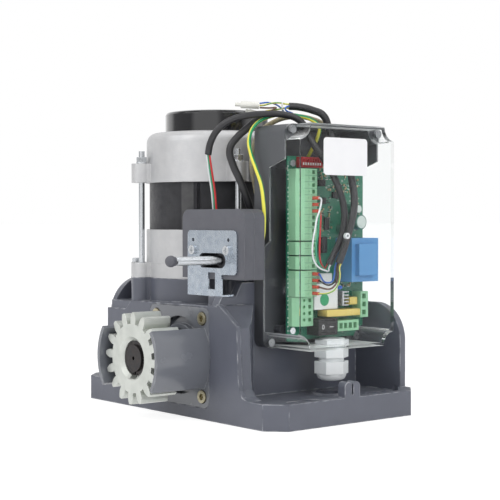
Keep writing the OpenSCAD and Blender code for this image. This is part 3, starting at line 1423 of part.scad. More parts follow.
module terminal_blocks() color([0.56, 0.78, 0.61]) {
    for (i = [0:len(block_spans) - 1]) {
        span = block_spans[i];
        rise = block_rises[i];
        difference() {
            translate([0, 0, span[0]]) linear_extrude(span[1] - span[0]) polygon([
                [board_top, block_ys[0]], [board_top + rise - block_slant, block_ys[0]],
                [board_top + rise, block_ys[1]], [board_top + rise, block_ys[2]],
                [board_top, block_ys[2]]
            ]);
            for (k = [0:floor((span[1] - span[0]) / way_pitch) - 1])
                terminal_way(way_z(i, k), rise);
        }
    }
    // Mains terminals beside the switch
    with_sockets(plug_low_shares, plug_low_rise, plug_low_hole_shares, plug_depth);
    with_sockets(plug_side_shares, plug_side_rise, plug_side_hole_shares, plug_depth);
}

module ferrules() color([0.85, 0.3, 0.25])
    for (z = ferrule_ways)
        cyl_x(way_y, z, ferrule_x0, ferrule_x0 + ferrule_len, ferrule_d);

ferrule_x0 = board_top + block_rises[1] - ferrule_in;

module dip_switch() color([0.75, 0.2, 0.2])
    with_sockets(dip_shares, dip_rise, dip_way_shares, over);

module transformer() color([0.32, 0.53, 0.75]) {
    on_board(trafo_foot_shares, trafo_rise[0]);
    on_board(trafo_top_shares, trafo_rise[1], trafo_rise[0] - over);
}

module relay() color([0.88, 0.89, 0.88]) on_board(relay_shares, relay_rise);

module board_capacitors() {
    color([0.15, 0.15, 0.2]) for (i = [0:2])
        cyl_x(on_y(can_shares[i][0]), on_z(can_shares[i][1]), board_top, board_top + can_size[i][1],
            can_size[i][0]);
    color([0.88, 0.8, 0.48]) {
        on_board(film_shares, film_rise[0]);
        on_board(film_small_shares, film_rise[1]);
    }
}

module heatsink() color([0.7, 0.71, 0.72]) {
    on_board([fin_back_shares, fin_z_shares], fin_rise);
    for (k = [0:fin_count - 1])
        block(board_top, board_top + fin_rise, on_y(fin_y_shares[0]), on_y(fin_y_shares[1]),
            on_z(fin_z_shares[0]) + fin_pitch * k, on_z(fin_z_shares[0]) + fin_pitch * k + fin_t);
}

module rocker_frame() color([0.14, 0.14, 0.15]) difference() {
    block(board_top, rocker_x, rocker_y - rocker_size[0] / 2, rocker_y + rocker_size[0] / 2,
        rocker_z - rocker_size[1] / 2, rocker_z + rocker_size[1] / 2);
    block(rocker_x - rocker_depth, rocker_x + over,
        rocker_y - rocker_size[0] / 2 + rocker_wall, rocker_y + rocker_size[0] / 2 - rocker_wall,
        rocker_z - rocker_size[1] / 2 + rocker_wall, rocker_z + rocker_size[1] / 2 - rocker_wall);
    cyl_z(rocker_x - rocker_pin_in, rocker_y, rocker_z - rocker_size[1],
        rocker_z + rocker_size[1], rocker_pin_d + 2 * fit);
}

module rocker_button() color([0.1, 0.1, 0.11]) {
    half = rocker_size[0] / 2 - rocker_wall - rocker_ease[0];
    high = rocker_size[1] - 2 * rocker_wall - 2 * rocker_ease[1];
    translate([rocker_x - rocker_pin_in, rocker_y, rocker_z]) rotate([0, 0, -rocker_tilt]) {
        translate([0, 0, -high / 2]) linear_extrude(high) polygon([
            [-rocker_nose[1], -half + rocker_nose[0]], [rocker_face[0], -half],
            [rocker_face[1], -half], [rocker_face[2], 0], [rocker_face[1], half],
            [rocker_face[0], half], [-rocker_nose[1], half - rocker_nose[0]], [-rocker_nose[2], 0]
        ]);
        translate([0, 0, rocker_ease[2] - rocker_size[1] / 2])
            cylinder(h = rocker_size[1] - 2 * rocker_ease[2], d = rocker_pin_d);
    }
}

module gland_body() color([0.9, 0.92, 0.92]) difference() {
    union() {
        on_gland(gland_nut_z0 + gland_floor + over,
            box_z0 + clear_wall + locknut_h + over, gland_thread_d);
        hex_z(gland_x, gland_y, gland_flange_z, box_z0, gland_hex);
    }
    on_gland(0, box_z1, gland_bore_d);
    on_gland(0, gland_seal_z1, gland_thread_d - gland_thread_t);
}

module gland_locknut() color([0.9, 0.92, 0.92]) difference() {
    hex_z(gland_x, gland_y, box_z0 + clear_wall, box_z0 + clear_wall + locknut_h, gland_hex);
    on_gland(box_z0, box_z1, gland_thread_d);
}

module gland_nut() color([0.9, 0.92, 0.92]) difference() {
    union() {
        hex_z(gland_x, gland_y, gland_nut_z0 + gland_floor, gland_nut_z1, gland_hex);
        translate([gland_x, gland_y, gland_nut_z0]) rotate_extrude() polygon(concat(
            [[0, 0]], gland_cone, [[0, gland_cone[3][1]]]
        ));
    }
    on_gland(gland_nut_z0 + gland_floor, gland_nut_z1 + over, gland_thread_d);
    on_gland(0, gland_nut_z1, gland_bore_d - 2 * gland_lip);
}

module gland_seal() color([0.2, 0.2, 0.2]) difference() {
    on_gland(gland_nut_z0 + gland_floor, gland_seal_z1, gland_thread_d - gland_thread_t);
    on_gland(0, gland_nut_z1, gland_bore_d - 4 * gland_lip);
}

module motor_cable() color([0.1, 0.1, 0.11]) {
    swept_tube(motor_route, motor_cable_d);
    swept_tube(box_route, motor_cable_d);
}

module earth_wire() color([0.85, 0.85, 0.3]) swept_tube(earth_route, earth_d);

module sleeved_lead() color([0.85, 0.82, 0.68]) swept_tube(sleeve_route, sleeve_d);

module limit_cable() {
    color([0.12, 0.12, 0.13]) swept_tube(limit_route, limit_cable_d);
    color([0.8, 0.3, 0.3]) for (spread = core_spread)
        swept_tube([for (k = [0:3]) core_route[k] + spread * core_fan[k]], core_d);
}

module control_leads() color([0.85, 0.85, 0.87])
    for (i = [0:len(ferrule_ways) - 1])
        swept_tube(concat([for (x = [fit, lead_stub])
            [ferrule_x0 + ferrule_len + x, way_y, ferrule_ways[i]]], lead_routes[i]),
            lead_d, lead_sides, [0.6, 0.7, -0.4]);

module crimp_caps() color([0.9, 0.9, 0.85]) {
    for (i = [0, 1])
        swept_tube(cap_routes[i], [for (k = [0:len(cap_routes[i]) - 1])
            k < len(cap_ds[i]) ? cap_ds[i][k] : lead_d]);
    for (route = loop_routes) swept_tube(route, lead_d, lead_sides);
}

base_housing();
flange_guard();
flange_screws();
drive_gear();
retaining_ring();
drive_key();
output_shaft();
front_bearing();
rear_bearing();
oil_seal();
worm_wheel();
worm();
worm_shaft();
rotor_core();
stator_core();
stator_windings();
lower_shield();
upper_shield();
foot_bearing();
lower_motor_bearing();
upper_motor_bearing();
top_cap();
top_cap_screws();
tie_rods();
tie_rod_nuts();
shield_bolts();
run_capacitor();
limit_case_front();
limit_case_rear();
limit_bracket();
limit_screws();
limit_lever();
lever_spring();
lever_tip();
limit_switches();
box_base();
box_cover();
cover_screws();
box_screws();
circuit_board();
board_screws();
terminal_blocks();
ferrules();
dip_switch();
transformer();
relay();
board_capacitors();
heatsink();
rocker_frame();
rocker_button();
gland_body();
gland_locknut();
gland_nut();
gland_seal();
motor_cable();
earth_wire();
sleeved_lead();
limit_cable();
control_leads();
crimp_caps();
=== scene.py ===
"""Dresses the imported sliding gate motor: finishes, leads, board parts and fine detail.

The frame's own axes hold here too: +Z is up, the rack pinion faces -Y and the control box
faces +X. Sizes are written in millimetres and turned into metres where a mesh is made.
"""

import logging
import math
import random
from dataclasses import dataclass
from enum import Enum

import bpy
from mathutils import Matrix, Vector


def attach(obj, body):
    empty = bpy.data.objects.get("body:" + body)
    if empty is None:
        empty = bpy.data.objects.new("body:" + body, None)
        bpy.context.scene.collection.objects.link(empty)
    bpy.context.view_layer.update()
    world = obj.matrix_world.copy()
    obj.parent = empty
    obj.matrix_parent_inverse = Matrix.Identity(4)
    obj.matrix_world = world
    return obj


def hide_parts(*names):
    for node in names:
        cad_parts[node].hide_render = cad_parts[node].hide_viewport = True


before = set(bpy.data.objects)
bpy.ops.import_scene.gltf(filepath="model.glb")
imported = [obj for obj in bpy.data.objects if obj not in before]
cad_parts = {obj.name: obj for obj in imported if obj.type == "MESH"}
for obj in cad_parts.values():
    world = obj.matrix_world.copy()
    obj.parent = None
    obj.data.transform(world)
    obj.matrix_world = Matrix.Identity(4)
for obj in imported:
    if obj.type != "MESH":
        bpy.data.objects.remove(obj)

log = logging.getLogger("gate motor")
MM = 0.001
Point = tuple[float, float, float]
Route = tuple[Point, ...]
Colour = tuple[int, int, int]


class Body(str, Enum):
    """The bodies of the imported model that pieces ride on."""

    FRAME = "frame"
    OUTPUT = "output"
    ROD = "limit_rod"
    ROCKER = "rocker"


class Relief(Enum):
    """What the fine relief of a surface looks like."""

    FINE = "fine"
    CAST = "cast"
    BRUSHED = "brushed"
    LAMINATED = "laminated"
    WOVEN = "woven"


def linear(colour: Colour) -> tuple[float, float, float, float]:
    """Turns a colour of 0 to 255 a channel into the linear one that shaders use.

    Args:
        colour: Red, green and blue as they look on a screen.

    Returns:
        The linear colour with full alpha.
    """
    parts = [c / 255 for c in colour]
    return tuple(p / 12.92 if p <= 0.04045 else ((p + 0.055) / 1.055) ** 2.4 for p in parts) + (1.0,)


def metres(point: Point) -> Vector:
    """A point in millimetres as a vector in metres."""
    return Vector(point) * MM


class Sketch:
    """A node tree under construction, for a material or a group of nodes."""

    def __init__(self, tree: bpy.types.NodeTree) -> None:
        """Starts on a tree.

        Args:
            tree: The tree that nodes are added to.
        """
        self.tree = tree

    def node(self, kind: str, inputs: dict | None = None, **settings) -> bpy.types.Node:
        """Adds a node.

        Args:
            kind: The node's type name, without its leading ShaderNode.
            inputs: Values or sockets for its inputs, by name or index.
            settings: Its other settings.

        Returns:
            The new node.
        """
        node = self.tree.nodes.new(kind if kind.startswith("Node") else "ShaderNode" + kind)
        for key, value in settings.items():
            setattr(node, key, value)
        for key, value in (inputs or {}).items():
            if isinstance(value, bpy.types.NodeSocket):
                self.tree.links.new(value, node.inputs[key])
            else:
                node.inputs[key].default_value = value
        return node

    def maths(self, operation: str, a, b=0.0, clamp: bool = False) -> bpy.types.NodeSocket:
        """The result of one sum on two values or sockets."""
        return self.node("Math", {0: a, 1: b}, operation=operation, use_clamp=clamp).outputs[0]

    def spread(self, value, low: float, high: float, start: float = 0.0, end: float = 1.0
               ) -> bpy.types.NodeSocket:
        """Maps a value from the range start..end to low..high, clamped."""
        inputs = {"Value": value, "From Min": start, "From Max": end, "To Min": low, "To Max": high}
        return self.node("MapRange", inputs).outputs["Result"]

    def blend(self, factor, a, b) -> bpy.types.NodeSocket:
        """Mixes two colours, from a at factor 0 to b at factor 1."""
        return self.node("Mix", {0: factor, 6: a, 7: b}, data_type="RGBA").outputs[2]

    def place(self, stretch: Point = (1, 1, 1)) -> bpy.types.NodeSocket:
        """The surface's own place, stretched along each axis."""
        spot = self.node("TexCoord").outputs["Object"]
        if stretch == (1, 1, 1):
            return spot
        return self.node("Mapping", {"Vector": spot, "Scale": stretch}).outputs["Vector"]

    def noise(self, size: float, detail: float = 3.0, stretch: Point = (1, 1, 1)
              ) -> bpy.types.NodeSocket:
        """Soft random patches.

        Args:
            size: Width of a patch in millimetres.
            detail: How many finer layers lie on it.
            stretch: Scale along each axis.

        Returns:
            The socket with values from 0 to 1.
        """
        inputs = {"Vector": self.place(stretch), "Scale": 1 / (size * MM), "Detail": detail}
        return self.node("TexNoise", inputs).outputs["Fac"]

    def group(self, group: bpy.types.NodeTree, **inputs) -> bpy.types.Node:
        """Places a node group and fills its inputs by name."""
        node = self.node("Group")
        node.node_tree = group
        for key, value in inputs.items():
            node.inputs[key.replace("_", " ")].default_value = value
        return node


class Effects:
    """Node groups that several materials share, each built once."""

    made: dict[str, bpy.types.NodeTree] = {}

    @classmethod
    def start(cls, name: str, inputs: dict[str, float], outputs: dict[str, str]
              ) -> tuple[Sketch, bpy.types.Node, bpy.types.Node]:
        """Starts a group with float inputs.

        Args:
            name: The group's name.
            inputs: Its inputs and their first values.
            outputs: Its outputs and their socket types.

        Returns:
            The sketch, the input node and the output node.
        """
        tree = bpy.data.node_groups.new(name, "ShaderNodeTree")
        for key, value in inputs.items():
            socket = tree.interface.new_socket(key, in_out="INPUT", socket_type="NodeSocketFloat")
            socket.default_value = value
        for key, kind in outputs.items():
            tree.interface.new_socket(key, in_out="OUTPUT", socket_type=kind)
        cls.made[name] = tree
        sketch = Sketch(tree)
        return sketch, sketch.node("NodeGroupInput"), sketch.node("NodeGroupOutput")

    @classmethod
    def edges(cls) -> bpy.types.NodeTree:
        """Rounds sharp edges in the shading and marks where they are rubbed bare."""
        if "edge wear" in cls.made:
            return cls.made["edge wear"]
        outputs = {"Worn": "NodeSocketFloat", "Normal": "NodeSocketVector"}
        sketch, given, result = cls.start("edge wear", {"Radius": 0.001, "Breakup": 100.0}, outputs)
        round_edge = sketch.node("Bevel", {"Radius": given.outputs["Radius"]}, samples=6)
        flat = sketch.node("NewGeometry").outputs["Normal"]
        dot = sketch.node("VectorMath", {0: round_edge.outputs[0], 1: flat}, operation="DOT_PRODUCT")
        bend = sketch.maths("SUBTRACT", 1.0, dot.outputs["Value"])
        inputs = {"Vector": sketch.place(), "Scale": given.outputs["Breakup"], "Detail": 5.0}
        patches = sketch.node("TexNoise", inputs).outputs["Fac"]
        rubbed = sketch.maths("MULTIPLY", sketch.spread(bend, 0.0, 1.0, 0.01, 0.12),
                              sketch.spread(patches, 0.0, 1.0, 0.42, 0.62))
        sketch.tree.links.new(rubbed, result.inputs["Worn"])
        sketch.tree.links.new(round_edge.outputs[0], result.inputs["Normal"])
        return sketch.tree

    @classmethod
    def upward_pale(cls) -> bpy.types.NodeTree:
        """Marks faces that look up, in patches, where the colour turns paler."""
        if "upward_pale" in cls.made:
            return cls.made["upward_pale"]
        sketch, given, result = cls.start("upward_pale", {"Patch": 60.0}, {"Mask": "NodeSocketFloat"})
        normal = sketch.node("NewGeometry").outputs["Normal"]
        height = sketch.node("SeparateXYZ", {"Vector": normal}).outputs["Z"]
        inputs = {"Vector": sketch.place(), "Scale": given.outputs["Patch"], "Detail": 6.0}
        patches = sketch.node("TexNoise", inputs).outputs["Fac"]
        mask = sketch.maths("MULTIPLY", sketch.spread(height, 0.0, 1.0, 0.3, 0.95),
                            sketch.spread(patches, 0.2, 1.0, 0.35, 0.7))
        sketch.tree.links.new(mask, result.inputs["Mask"])
        return sketch.tree


@dataclass(frozen=True)
class Finish:
    """A surface: its colours, gloss, relief and wear. Lengths are in millimetres."""

    name: str
    colour: Colour
    drift_to: Colour | None = None
    drift: float = 0.5
    patch: float = 14.0
    metal: float = 0.0
    rough: tuple[float, float] = (0.4, 0.5)
    relief: Relief = Relief.FINE
    grain: float = 0.7
    depth: float = 0.03
    stretch: Point = (1, 1, 1)
    worn: Colour | None = None
    wear: float = 0.7
    edge: float = 0.6
    upward_pale: float = 0.0
    coat: float = 0.0
    slot: str = "zinc_white"

    def height(self, sketch: Sketch) -> bpy.types.NodeSocket:
        """The relief's height, from 0 to 1."""
        if self.relief is Relief.LAMINATED:
            inputs = {"Vector": sketch.place(), "Scale": 0.5 / (self.grain * MM), "Distortion": 0.15}
            bands = sketch.node("TexWave", inputs, bands_direction="Z").outputs["Fac"]
            return sketch.maths("ADD", bands, sketch.maths("MULTIPLY", sketch.noise(2.5), 0.6))
        if self.relief is Relief.CAST:
            inputs = {"Vector": sketch.place(), "Scale": 0.6 / (self.grain * MM)}
            pits = sketch.node("TexVoronoi", inputs).outputs["Distance"]
            waves = sketch.maths("MULTIPLY", sketch.noise(self.grain * 7, 2.0), 2.4)
            return sketch.maths("ADD", sketch.maths("ADD", pits, sketch.noise(self.grain, 4.0)), waves)
        if self.relief is Relief.BRUSHED:
            return sketch.noise(self.grain, 4.0, self.stretch)
        if self.relief is Relief.WOVEN:
            inputs = {"Vector": sketch.place(), "Scale": 0.5 / (self.grain * MM), "Distortion": 1.2}
            warp = sketch.node("TexWave", inputs, bands_direction="DIAGONAL").outputs["Fac"]
            weft = sketch.node("TexWave", inputs, bands_direction="Z").outputs["Fac"]
            return sketch.maths("MULTIPLY", warp, weft)
        return sketch.noise(self.grain, 3.0)

    def tint(self, sketch: Sketch, edge: bpy.types.Node) -> bpy.types.NodeSocket:
        """The colour over the surface, with drift, bare edges and paler upward faces."""
        second = self.drift_to or tuple(int(c * 0.86) for c in self.colour)
        patches = sketch.spread(sketch.noise(self.patch, 5.0), 0.0, self.drift, 0.35, 0.7)
        tint = sketch.blend(patches, linear(self.colour), linear(second))
        if self.worn:
            bare = sketch.maths("MULTIPLY", edge.outputs["Worn"], self.wear)
            tint = sketch.blend(bare, tint, linear(self.worn))
        if self.upward_pale:
            mask = sketch.group(Effects.upward_pale()).outputs["Mask"]
            tint = sketch.blend(sketch.maths("MULTIPLY", mask, self.upward_pale), tint, linear((196, 196, 198)))
        return tint

    def build(self) -> bpy.types.Material:
        """Builds the material, or returns it if it is built.

        Returns:
            The material.
        """
        found = bpy.data.materials.get(self.name)
        if found and found.get("dressed"):
            return found
        material = bpy.data.materials.new(self.name)
        material.use_nodes = True
        material["dressed"] = True
        sketch = Sketch(material.node_tree)
        shader = material.node_tree.nodes["Principled BSDF"]
        edge = sketch.group(Effects.edges(), Radius=self.edge * MM)
        shader.inputs["Metallic"].default_value = self.metal
        shader.inputs["Coat Weight"].default_value = self.coat
        shader.inputs["Coat Roughness"].default_value = 0.12
        rough = sketch.spread(sketch.noise(self.patch * 0.6, 4.0), *self.rough, 0.35, 0.7)
        bump = sketch.node("Bump", {"Strength": 1.0, "Distance": self.depth * MM,
                                    "Height": self.height(sketch), "Normal": edge.outputs["Normal"]})
        sketch.tree.links.new(self.tint(sketch, edge), shader.inputs["Base Color"])
        sketch.tree.links.new(rough, shader.inputs["Roughness"])
        sketch.tree.links.new(bump.outputs[0], shader.inputs["Normal"])
        return material


@dataclass(frozen=True)
class StripedFinish(Finish):
    """A lead's skin with a second colour that runs along it."""

    stripe: Colour = (36, 150, 96)
    twist: float = 1.0
    share: float = 0.3

    def tint(self, sketch: Sketch, edge: bpy.types.Node) -> bpy.types.NodeSocket:
        """The skin's colour with the stripe, laid by the lead's own map."""
        around = sketch.node("SeparateXYZ", {"Vector": sketch.node("UVMap").outputs["UV"]})
        along = sketch.maths("MULTIPLY", around.outputs["Y"], self.twist)
        turn = sketch.maths("FRACT", sketch.maths("ADD", around.outputs["X"], along))
        mask = sketch.maths("LESS_THAN", turn, self.share)
        return sketch.blend(mask, Finish.tint(self, sketch, edge), linear(self.stripe))


@dataclass(frozen=True)
class BoardFinish(Finish):
    """Solder mask with paler copper tracks under it and tinned holes."""

    track: Colour = (60, 142, 112)
    hole: Colour = (168, 176, 166)
    cell: float = 5.6

    def tint(self, sketch: Sketch, edge: bpy.types.Node) -> bpy.types.NodeSocket:
        """The mask's colour with its tracks and holes."""
        spot = sketch.node("SeparateXYZ", {"Vector": sketch.place()})
        flat = sketch.node("CombineXYZ", {"X": spot.outputs["Y"], "Y": spot.outputs["Z"]}).outputs[0]
        inputs = {"Vector": flat, "Scale": 1 / (self.cell * MM), "Mortar Size": 0.035, "Bias": 0.0}
        tracks = sketch.node("TexBrick", inputs, squash=0.6, squash_frequency=3).outputs["Fac"]
        cells = sketch.node("TexVoronoi", {"Vector": flat, "Scale": 0.8 / (self.cell * MM)})
        holes = sketch.maths("LESS_THAN", cells.outputs["Distance"], 0.14)
        mask = Finish.tint(self, sketch, edge)
        mask = sketch.blend(sketch.maths("MULTIPLY", tracks, 0.7), mask, linear(self.track))
        return sketch.blend(sketch.maths("MULTIPLY", holes, 0.8), mask, linear(self.hole))


@dataclass(frozen=True)
class ClearFinish:
    """Clear moulded plastic, which lets light through to what it covers, with a pale veil on faces seen
    at a slant that is a painted reflection.
    """

    name: str
    colour: Colour = (253, 254, 254)
    rough: float = 0.03
    ior: float = 1.2
    sheen_veil: float = 0.5
    slot: str = "clear_cover"

    def build(self) -> bpy.types.Material:
        """Builds the material, or returns it if it is built."""
        found = bpy.data.materials.get(self.name)
        if found and found.get("dressed"):
            return found
        material = bpy.data.materials.new(self.name)
        material.use_nodes = True
        material["dressed"] = True
        sketch = Sketch(material.node_tree)
        shader = material.node_tree.nodes["Principled BSDF"]
        shader.inputs["Base Color"].default_value = linear(self.colour)
        shader.inputs["Transmission Weight"].default_value = 1.0
        shader.inputs["IOR"].default_value = self.ior
        rough = sketch.spread(sketch.noise(30.0, 3.0), self.rough * 0.5, self.rough * 2, 0.35, 0.7)
        sketch.tree.links.new(rough, shader.inputs["Roughness"])
        bump = sketch.node("Bump", {"Distance": 0.02 * MM, "Height": sketch.noise(16.0, 2.0)})
        sketch.tree.links.new(bump.outputs[0], shader.inputs["Normal"])
        path = sketch.node("LightPath")
        let_by = sketch.maths("MAXIMUM", path.outputs["Is Shadow Ray"], path.outputs["Is Diffuse Ray"])
        clear = sketch.node("BsdfTransparent", {"Color": linear(self.colour)})
        # Painted reflection: a pale diffuse veil on faces seen at a slant, standing for lamp light
        # reflected by the cover.
        rim = sketch.spread(sketch.node("LayerWeight").outputs["Facing"], 0.0, self.sheen_veil, 0.45, 1.0)
        pale = sketch.node("BsdfDiffuse", {"Color": linear(self.colour)})
        solid = sketch.node("MixShader", {0: rim, 1: shader.outputs[0], 2: pale.outputs[0]})
        mixed = sketch.node("MixShader", {0: let_by, 1: solid.outputs[0], 2: clear.outputs[0]})
        out = material.node_tree.nodes["Material Output"]
        sketch.tree.links.new(mixed.outputs[0], out.inputs["Surface"])
        return material


class Finishes:
    """Every finish on the gate motor."""

    CASTING = Finish("slate grey casting paint", (93, 96, 107), (86, 89, 99), 0.6, 22.0,
                     rough=(0.3, 0.42), relief=Relief.CAST, grain=0.8, depth=0.04,
                     worn=(196, 198, 203), wear=0.8, edge=1.6, upward_pale=0.10, slot="casting")
    GUARD = Finish("guard paint", (108, 111, 118), (102, 105, 112), 0.4, 26.0, rough=(0.2, 0.28),
                   grain=1.2, depth=0.008, worn=(190, 192, 196), wear=0.6, edge=0.9, coat=0.5,
                   slot="guard_paint")
    PINION = Finish("machined pinion steel", (208, 211, 205), (188, 192, 186), 0.6, 8.0, metal=0.6,
                    rough=(0.34, 0.52), relief=Relief.BRUSHED, grain=0.8, depth=0.02,
                    stretch=(1, 6, 1), worn=(232, 234, 232), wear=0.7, edge=0.5,
                    slot="pinion_steel")
    YELLOW_ZINC = Finish("yellow zinc", (190, 184, 160), (150, 140, 112), 0.8, 3.0, metal=0.9,
                         rough=(0.3, 0.45), grain=0.5, depth=0.01, edge=0.4, slot="zinc_yellow")
    BLACK_STEEL = Finish("blackened steel", (50, 49, 50), (66, 58, 55), 0.7, 4.0, metal=0.6,
                         rough=(0.34, 0.5), relief=Relief.BRUSHED, grain=0.6, depth=0.02, edge=0.4,
                         slot="black_steel")
    STEEL = Finish("ground steel", (176, 178, 180), (150, 152, 154), 0.5, 6.0, metal=1.0,
                   rough=(0.22, 0.36), relief=Relief.BRUSHED, grain=0.4, depth=0.008, edge=0.4,
                   slot="shaft_steel")
    RUBBER = Finish("black rubber", (34, 34, 35), (46, 46, 48), 0.6, 6.0, rough=(0.55, 0.7),
                    grain=0.4, depth=0.02, edge=0.3, slot="rubber_black")
    BRONZE = Finish("worm wheel bronze", (184, 142, 84), (150, 108, 60), 0.6, 8.0, metal=1.0,
                    rough=(0.3, 0.45), relief=Relief.BRUSHED, grain=0.5, depth=0.02, edge=0.4,
                    slot="bronze")
    COPPER = Finish("enamelled winding", (150, 84, 48), (112, 60, 34), 0.8, 3.0, metal=0.6,
                    rough=(0.3, 0.5), relief=Relief.LAMINATED, grain=0.8, depth=0.3, edge=0.5,
                    slot="copper")
    # The seam is bare, and its paler colour is also a painted highlight where light reflects off the
    # black stack.
    SEAM_HIGHLIGHT = Finish("stack seam with painted highlight", (88, 88, 90), (104, 104, 104), 0.7, 5.0, metal=0.1,
                  rough=(0.4, 0.55), relief=Relief.LAMINATED, grain=0.8, depth=0.3, edge=0.3,
                  slot="stack_black")
    STACK = Finish("black stator stack", (44, 44, 48), (62, 62, 66), 0.7, 9.0,
                   rough=(0.32, 0.46), relief=Relief.LAMINATED, grain=0.55, depth=0.16,
                   worn=(120, 120, 124), wear=0.5, edge=0.7, slot="stack_black")
    SHIELD = Finish("sand cast aluminium", (196, 196, 197), (183, 184, 186), 0.6, 9.0, metal=0.5,
                    rough=(0.4, 0.52), relief=Relief.CAST, grain=0.55, depth=0.06,
                    worn=(222, 222, 222), wear=0.6, edge=1.0, slot="shield_aluminium")
    CAP = Finish("glossy black cap", (22, 22, 25), (30, 30, 33), 0.5, 18.0, rough=(0.06, 0.1),
                 grain=0.5, depth=0.002, edge=0.8, coat=1.0, slot="cap_black")
    ZINC = Finish("bright zinc", (212, 215, 218), (198, 202, 207), 0.5, 12.0, metal=0.95,
                  rough=(0.18, 0.26), relief=Relief.BRUSHED, grain=0.5, depth=0.003,
                  stretch=(1, 1, 0.2), edge=0.4, slot="zinc_white")
    CAPACITOR = Finish("white capacitor case", (222, 222, 222), None, 0.5, 12.0, grain=0.5,
                       depth=0.01, slot="capacitor_white")
    CASE = Finish("limit switch plastic", (90, 91, 98), (82, 83, 90), 0.6, 10.0,
                  rough=(0.46, 0.58), grain=0.35, depth=0.03, worn=(134, 135, 140), wear=0.5,
                  edge=0.7, slot="case_grey")
    PLATE = Finish("zinc plated sheet", (184, 192, 201), (158, 168, 181), 0.7, 5.0, metal=0.85,
                   rough=(0.2, 0.32), relief=Relief.BRUSHED, grain=0.6, depth=0.004,
                   stretch=(0.25, 1, 1), worn=(208, 214, 222), wear=0.8, edge=0.4,
                   slot="zinc_plate")
    BLACK_PLASTIC = Finish("black plastic", (30, 30, 32), (38, 38, 40), 0.5, 8.0,
                           rough=(0.36, 0.48), grain=0.3, depth=0.01, edge=0.5,
                           slot="plastic_black")
    SHELL = Finish("dark box shell", (84, 86, 90), (76, 78, 82), 0.5, 24.0, rough=(0.42, 0.54),
                   grain=0.35, depth=0.02, worn=(112, 114, 118), wear=0.4, edge=0.6,
                   slot="shell_grey")
    CLEAR = ClearFinish("clear cover")
    SCREW = Finish("grey screw", (150, 152, 155), None, 0.5, 3.0, metal=0.9, rough=(0.26, 0.4),
                   grain=0.3, depth=0.008, edge=0.3, slot="screw_grey")
    BOARD = BoardFinish("solder mask", (30, 106, 82), (22, 88, 68), 0.7, 9.0, rough=(0.3, 0.42),
                        grain=0.5, depth=0.01, edge=0.2, coat=0.2, slot="board_green")
    TERMINAL = Finish("terminal plastic", (150, 202, 163), (136, 190, 148), 0.5, 10.0,
                      rough=(0.36, 0.48), grain=0.4, depth=0.01, edge=0.35, slot="terminal_green")
    # Painted shade: the darker lines stand for the shadow in the gaps between terminal poles.
    TERMINAL_GAP_SHADE = Finish("terminal gap shade", (84, 132, 98), None, 0.4, 4.0, rough=(0.5, 0.6),
                           grain=0.3, depth=0.01, edge=0.1, slot="terminal_green")
    FERRULE = Finish("red ferrule", (214, 84, 66), (190, 66, 52), 0.5, 3.0, rough=(0.36, 0.5),
                     grain=0.3, depth=0.01, edge=0.3, slot="ferrule_red")
    RED_SWITCH = Finish("red switch", (176, 44, 48), None, 0.5, 6.0, rough=(0.34, 0.46),
                        grain=0.3, depth=0.01, edge=0.3, slot="switch_red")
    BLUE = Finish("blue transformer", (90, 146, 196), (78, 134, 186), 0.5, 14.0,
                  rough=(0.3, 0.42), grain=0.4, depth=0.01, edge=0.5, slot="transformer_blue")
    RELAY = Finish("white relay", (226, 228, 226), (214, 216, 214), 0.5, 8.0, rough=(0.36, 0.48),
                   grain=0.3, depth=0.008, edge=0.4, slot="relay_white")
    YELLOW = Finish("yellow film capacitor", (226, 204, 116), (214, 188, 98), 0.5, 8.0,
                    rough=(0.3, 0.42), grain=0.4, depth=0.012, edge=0.6, slot="film_yellow")
    CAN = Finish("capacitor sleeve", (58, 112, 98), (44, 94, 82), 0.5, 5.0, rough=(0.28, 0.4),
                 grain=0.4, depth=0.01, edge=0.4, coat=0.2, slot="board_green")
    CAN_TOP = Finish("capacitor top", (204, 214, 210), (184, 196, 192), 0.5, 3.0, metal=0.6,
                     rough=(0.3, 0.42), grain=0.3, depth=0.008, edge=0.2, slot="fin_aluminium")
    TAN = Finish("small capacitor body", (196, 176, 140), (170, 150, 118), 0.5, 2.0,
                 rough=(0.4, 0.52), grain=0.3, depth=0.008, edge=0.1, slot="sleeve_cream")
    FROST = Finish("frosted moulding", (232, 234, 236), (216, 219, 222), 0.5, 4.0,
                   rough=(0.24, 0.36), grain=0.3, depth=0.01, edge=0.3, coat=0.4, slot="clear_cover")
    CRIMP = Finish("crimp nylon", (226, 226, 220), (206, 206, 198), 0.6, 5.0, rough=(0.3, 0.44),
                   grain=0.4, depth=0.01, edge=0.2, slot="gland_white")
    FIN = Finish("extruded aluminium", (186, 188, 190), (166, 168, 172), 0.5, 5.0, metal=0.9,
                 rough=(0.24, 0.38), relief=Relief.BRUSHED, grain=0.4, depth=0.01, edge=0.3,
                 slot="fin_aluminium")
    GLAND = Finish("white nylon", (230, 233, 234), (220, 224, 226), 0.5, 8.0, rough=(0.32, 0.44),
                   grain=0.4, depth=0.012, edge=0.5, slot="gland_white")
    SHEATH = Finish("black cable sheath", (38, 38, 41), (52, 52, 55), 0.6, 8.0, rough=(0.34, 0.5),
                    grain=0.5, depth=0.02, edge=0.2, slot="cable_black")
    SLEEVE = Finish("cream woven sleeve", (216, 208, 178), (190, 178, 142), 0.8, 2.5,
                    rough=(0.7, 0.85), relief=Relief.WOVEN, grain=0.5, depth=0.25, edge=0.2,
                    slot="sleeve_cream")
    LABEL = Finish("bare paper label", (238, 238, 240), (230, 230, 233), 0.4, 14.0,
                   rough=(0.4, 0.5), grain=0.3, depth=0.004, edge=0.1, slot="relay_white")
    MARK = Finish("white print", (236, 236, 236), None, 0.3, 4.0, rough=(0.5, 0.6), grain=0.3,
                  depth=0.004, edge=0.1, slot="relay_white")
